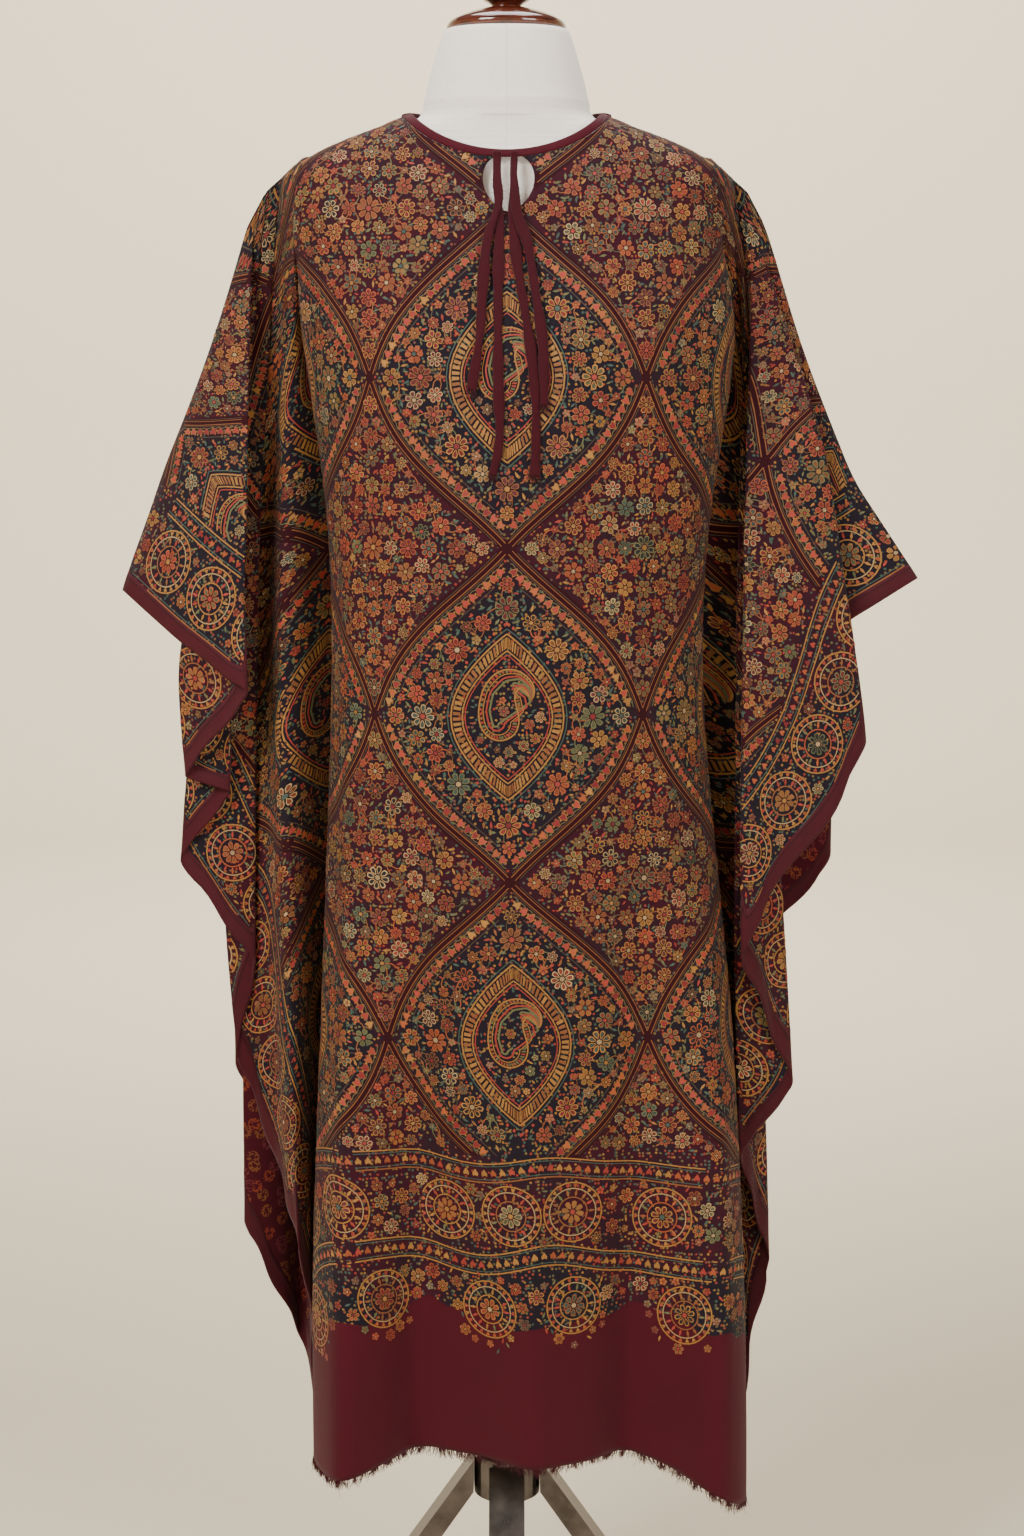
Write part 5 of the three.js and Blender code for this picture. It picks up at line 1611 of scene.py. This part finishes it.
def front_place(net, x, z):
    """u and v of places on the front of the body, by halving."""
    x, z = np.asarray(x, float), np.asarray(z, float)
    low_u = np.full(x.shape, net["left_seam"] + 2.0)
    high_u = np.full(x.shape, net["right_seam"] - 2.0)
    for _ in range(20):
        u = (low_u + high_u) / 2
        low_v, high_v = np.zeros(x.shape), np.full(x.shape, float(LAST_V))
        for _ in range(20):
            v = (low_v + high_v) / 2
            above = sheet_points(net, u, v)[..., 2] > z
            low_v, high_v = np.where(above, v, low_v), np.where(above, high_v, v)
        left = sheet_points(net, u, v)[..., 0] < x
        low_u, high_u = np.where(left, u, low_u), np.where(left, high_u, u)
    return u, v


def smooth_path(points, steps):
    """A Catmull-Rom curve through the points."""
    points = np.asarray(points, float)
    points = np.vstack([2 * points[0] - points[1], points, 2 * points[-1] - points[-2]])
    out = []
    for k in range(1, len(points) - 2):
        t = np.linspace(0, 1, steps, endpoint=False)[:, None]
        p0, p1, p2, p3 = points[k - 1:k + 3]
        out.append(0.5 * (2 * p1 + (p2 - p0) * t + (2 * p0 - 5 * p1 + 4 * p2 - p3) * t ** 2
                          + (3 * p1 - p0 - 3 * p2 + p3) * t ** 3))
    return np.vstack(out + [points[-2:-1]])


def make_tie(cloth, number, layer, path, rng):
    """A tail of the neck ties, lying on the front, with a frayed end and fuzz. Also gives its length."""
    net = cloth.net
    flat = smooth_path(path, 12)
    u, v = front_place(net, flat[:, 0], np.minimum(flat[:, 1], NECK_SEAM["front_z"] - 3))
    point, normal = cloth_spots(net, u, v)
    point = np.stack([flat[:, 0], point[:, 1], flat[:, 1]], axis=1)
    point += normal * (BINDING["thick"] / 2 + TIE["gap"] + TIE["half_thick"] + layer * TIE["layer"])
    run = run_of(point)
    steps = np.linspace(0, run[-1], int(run[-1] / TIE["pitch"]))
    point, normal = values_at(steps, run, point), unit(values_at(steps, run, normal))
    pinch = 1 + 0.16 * np.sin(steps / 17 + number) + 0.10 * np.sin(steps / 6.3 + 2 * number)
    wide = (TIE["half_wide"] * pinch) * (0.72 + 0.28 * ramp(0, 60, steps))
    thick = 1.0 + 0.35 * np.sin(steps / 9 + number)
    sides = 10
    rings = tube(point, np.stack([wide, thick * 0.8], axis=1), sides, normal)
    way = unit(np.gradient(point, axis=0))
    side = np.cross(way, normal)
    points = rings.reshape(-1, 3)
    faces = ring_faces(len(rings), sides)
    extra, extra_faces, count = [], [], len(points)

    def hair(root, direction, length, base):
        nonlocal count
        bend = rng.normal(0, 0.25, 3)
        for k, share in enumerate((0, 0.5, 1.0)):
            centre = root + direction * length * share + bend * length * share ** 2 * 0.5
            size = 0.26 * (1 - 0.7 * share)
            extra.append(centre + side[base] * size)
            extra.append(centre - side[base] * size)
            extra.append(centre + normal[base] * size)
        for k in range(2):
            for j in range(3):
                a, b = count + 3 * k + j, count + 3 * k + (j + 1) % 3
                extra_faces.append((a, b, b + 3, a + 3))
        count += 9

    for _ in range(TIE["end_hairs"]):
        root = point[-1] + side[-1] * wide[-1] * rng.uniform(-1, 1) + normal[-1] * rng.uniform(-0.5, 0.5)
        hair(root - way[-1] * 2, way[-1] + side[-1] * rng.normal(0, 0.3), rng.uniform(5, 11), len(point) - 1)
    for _ in range(TIE["side_hairs"]):
        base = rng.integers(12, len(point) - 1)
        sign = rng.choice([-1, 1])
        root = point[base] + side[base] * sign * wide[base] * 0.94
        direction = side[base] * sign + way[base] * rng.normal(0, 0.8) + normal[base] * 0.3
        hair(root, direction, rng.uniform(1.2, 2.8), base)
    points = np.concatenate([points, np.array(extra)])
    uv = np.stack([points[:, 0], points[:, 2]], axis=1)
    piece = mesh_object(f"tie_tail_{number}", points, faces + extra_faces, looks["tie"], uv=uv / 1000)
    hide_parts(f"tie_{number}")
    return piece, run[-1]


def make_fringe(cloth, rng):
    """The frayed hem: a narrow ravelled band and loose threads in small clumps."""
    net = cloth.net
    first, last = net["left_seam"] + 1.2, net["right_seam"] - 1.2
    fine = np.linspace(first, last, 600)
    edge, _ = cloth_points(net, fine, np.full(600, float(LAST_V)))
    run = run_of(edge)
    total = FRINGE_THREADS[DETAIL]
    spot = np.sort(rng.uniform(1, run[-1] - 1, total))
    spot += 2.2 * np.sin(spot / 3.1)
    u = np.interp(np.clip(spot, 0, run[-1]), run, fine)
    v = np.full(total, float(LAST_V))
    root, normal = cloth_spots(net, u, v)
    down = unit(root - cloth_points(net, u, v - 0.05)[0])
    side = np.cross(down, normal)
    clump = 0.55 + 0.45 * np.sin(spot / 23) * np.sin(spot / 61 + 1)
    length = rng.uniform(4.5, 9.0, total) * (0.75 + 0.5 * clump)
    length[rng.random(total) < 0.03] *= 1.5
    lean = rng.normal(0, 0.28, total) + 0.35 * np.sin(spot / 11)
    out = rng.normal(0, 0.16, total)
    points, faces = [], []
    for share in (0.0, 0.4, 0.75, 1.0):
        centre = root - down * 1.2 + down * (length * share)[:, None]
        sideways, outward = lean * length * share ** 1.6, out * length * share ** 2
        centre += side * sideways[:, None] + normal * outward[:, None]
        size = 0.34 * (1 - 0.6 * share)
        points.append(centre + side * size)
        points.append(centre - side * size * 0.5 + normal * size)
        points.append(centre - side * size * 0.5 - normal * size)
    points = np.stack(points, axis=1).reshape(-1, 3)
    for k in range(total):
        for level in range(3):
            for j in range(3):
                a, b = 12 * k + 3 * level + j, 12 * k + 3 * level + (j + 1) % 3
                faces.append((a, b, b + 3, a + 3))
    uv = np.stack([points[:, 0], points[:, 2]], axis=1)
    piece = mesh_object(f"{cloth.facing}_frayed_hem", points, faces, looks["maroon"], uv=uv / 1000)
    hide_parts(f"{cloth.facing}_fringe")
    return piece


def make_form():
    """The linen form. Also gives its rings of points and their heights."""
    rings = np.array(FORM_RINGS, float)[::-1]
    z = np.linspace(rings[0, 0], rings[-1, 0], 150)
    z = np.unique(np.concatenate([z, np.linspace(1490, 1540, 30)]))
    values = np.stack([np.interp(z, rings[:, 0], rings[:, k]) for k in (1, 2, 3)], axis=1)
    for _ in range(3):
        values[1:-1] = (values[:-2] + 2 * values[1:-1] + values[2:]) / 4
    shrink = 3.0 * (1 - ramp(1522, 1535, z))
    values -= shrink[:, None]
    steps = 96
    cos, sin = np.cos(circle(steps)), np.sin(circle(steps))
    power = 2 / RING_POWER
    points = []
    for level, (half, front, back) in zip(z, values):
        x = CENTRE_X + half * np.sign(cos) * np.abs(cos) ** power
        depth = np.where(sin < 0, front, back)
        y = depth * np.sign(sin) * np.abs(sin) ** power
        points.append(np.stack([x, y, np.full(steps, level)], axis=1))
    points = np.array(points)
    piece = mesh_object("linen_form", points.reshape(-1, 3), ring_faces(len(z), steps), looks["linen"])
    tidy_normals(piece)
    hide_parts("dress_form")
    return points, z


def form_seams(points, z):
    """A welted seam down the front of the neck and one down its back."""
    shown = z > 1470
    for name, column, facing in (("front_seam", 72, -1.0), ("back_seam", 24, 1.0)):
        line = points[shown, column]
        normal = unit(np.tile([0.0, facing, 0.1], (len(line), 1)))
        rings = tube(line, np.tile([0.9, 0.45], (len(line), 1)), 6, normal)
        faces = ring_faces(len(rings), 6, ends=False)
        piece = mesh_object(name, rings.reshape(-1, 3), faces, looks["linen"])


def turned_piece(name, outline, replaces):
    """A wooden piece turned round the pole's axis from its outline: radius, height."""
    steps = 96
    turn = circle(steps)
    points = np.concatenate([
        np.stack([CENTRE_X + r * np.cos(turn), r * np.sin(turn), np.full(steps, float(z))], axis=1)
        for r, z in outline
    ])
    piece = mesh_object(name, points, ring_faces(len(outline), steps), looks["wood"])
    tidy_normals(piece)
    piece.data.set_sharp_from_angle(angle=math.radians(50))
    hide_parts(replaces)


cloths = [Cloth("front"), Cloth("back")]
rng = np.random.default_rng(7)
for cloth in cloths:
    panel = make_panel(cloth)
    if cloth.facing == "front":
        cut_keyhole(panel)
    worked = embroidery(cloth, looks["thread"])
    strips = [make_strip(cloth, side) for side in ("left", "right")]
    frayed = make_fringe(cloth, rng)
band, band_length = binding_piece(cloths)
for number, (layer, path) in enumerate(TIES, start=1):
    tail, tail_length = make_tie(cloths[0], number, layer, path, rng)

form_points, form_z = make_form()
form_seams(form_points, form_z)
turned_piece("turned_cap", [
    (48, 1598.3), (51, 1598.6), (53, 1600), (54, 1602), (53.6, 1604.4), (51.5, 1607.5),
    (46, 1610.6), (40, 1613.4), (32, 1616.2), (24, 1618.4), (20, 1619),
], "neck_cap")
turned_piece("turned_knob", [
    (12.6, 1619.3), (13, 1620), (13.4, 1622), (16, 1624), (20, 1626), (23, 1629), (25, 1633),
    (25.6, 1638), (25.7, 1643), (25.4, 1648), (23.6, 1653), (21, 1657.6), (17, 1661.6),
    (12, 1664.6), (6, 1666.6), (1, 1667),
], "neck_knob")
for name in ("hub", "pole", "leg_right", "leg_back", "leg_left", "leg_front"):
    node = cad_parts[name]
    node.data.materials.clear()
    node.data.materials.append(looks["steel"])
    edge = node.modifiers.new("soft_edges", "BEVEL")
    edge.width, edge.segments, edge.limit_method = 0.0012, 3, "ANGLE"
    edge.angle_limit = math.radians(40)

# The stage: a wide round floor that turns up into a wall on every side
stage_look = Look("pale_stage", Roughness=0.75)
stage_look.colour(stage_look.mix(stage_look.noise(1.5, 2.0), rgba(srgb(226, 212, 184)),
                                 rgba(srgb(233, 221, 197))))
FLOOR_REACH, FLOOR_CURVE, WALL_TOP, STAGE_SIDES = 5.2, 1.3, 5.5, 96
profile = [(0.05, 0.0), (FLOOR_REACH / 2, 0.0), (FLOOR_REACH, 0.0)]
for t in np.linspace(0.1, math.pi / 2, 12):
    profile.append((FLOOR_REACH + FLOOR_CURVE * math.sin(t), FLOOR_CURVE - FLOOR_CURVE * math.cos(t)))
profile += [(FLOOR_REACH + FLOOR_CURVE, 3.4), (FLOOR_REACH + FLOOR_CURVE, WALL_TOP)]
stage_points = [(reach * math.cos(t), reach * math.sin(t), z - 0.0005)
                for reach, z in profile for t in circle(STAGE_SIDES)]
stage_faces = [tuple(range(STAGE_SIDES))]
stage_faces += [tuple(reversed(face)) for face in ring_faces(len(profile), STAGE_SIDES, ends=False)]
stage_mesh = bpy.data.meshes.new("stage")
stage_mesh.from_pydata(stage_points, [], stage_faces)
stage_mesh.materials.append(stage_look.material)
stage_mesh.polygons.foreach_set("use_smooth", np.full(len(stage_faces), True))
stage = linked("stage", stage_mesh)


def area_light(name, place, target, size, power, tint=(1, 1, 1)):
    light = bpy.data.lights.new(name, "AREA")
    light.shape, light.size, light.energy, light.color = "SQUARE", size, power, tint
    lamp = linked(name, light)
    lamp.location = place
    lamp.rotation_mode = "QUATERNION"
    lamp.rotation_quaternion = (Vector(target) - Vector(place)).to_track_quat("-Z", "Y")


area_light("key", (-1.9, -2.2, 2.9), (0, 0, 0.9), 1.4, 150, (1.0, 0.97, 0.93))
area_light("fill", (2.2, -2.2, 2.3), (0, 0, 0.9), 1.5, 74, (0.98, 0.98, 1.0))
area_light("top", (0, 0.4, 3.4), (0, 0, 1.0), 1.6, 60)
area_light("wall_behind", (0, 2.7, 3.7), (0, 6.5, 1.7), 2.6, 330, (1.0, 0.99, 0.97))
area_light("wall_before", (0, -4.2, 4.0), (0, -6.5, 1.7), 2.6, 40, (1.0, 0.99, 0.97))
world = bpy.data.worlds.new("studio")
world.use_nodes = True
world.node_tree.nodes["Background"].inputs[0].default_value = (0.9, 0.92, 0.95, 1)
world.node_tree.nodes["Background"].inputs[1].default_value = 0.12
bpy.context.scene.world = world

# The camera stands where the photograph was taken from: its lens and its level line in the picture's rows
FOCAL_ROWS, PICTURE_ROWS, LEVEL_ROW = 2500, 1536, 414
camera_data = bpy.data.cameras.new("camera")
camera_data.sensor_width = 36.0
camera_data.lens = FOCAL_ROWS * camera_data.sensor_width / PICTURE_ROWS
camera = linked("camera", camera_data)
camera.location = (SHIFT_X, -2.325 + SHIFT_Y, 1.258)
camera.rotation_euler = (math.radians(90) - math.atan((PICTURE_ROWS / 2 - LEVEL_ROW) / FOCAL_ROWS), 0, 0)
bpy.context.scene.camera = camera
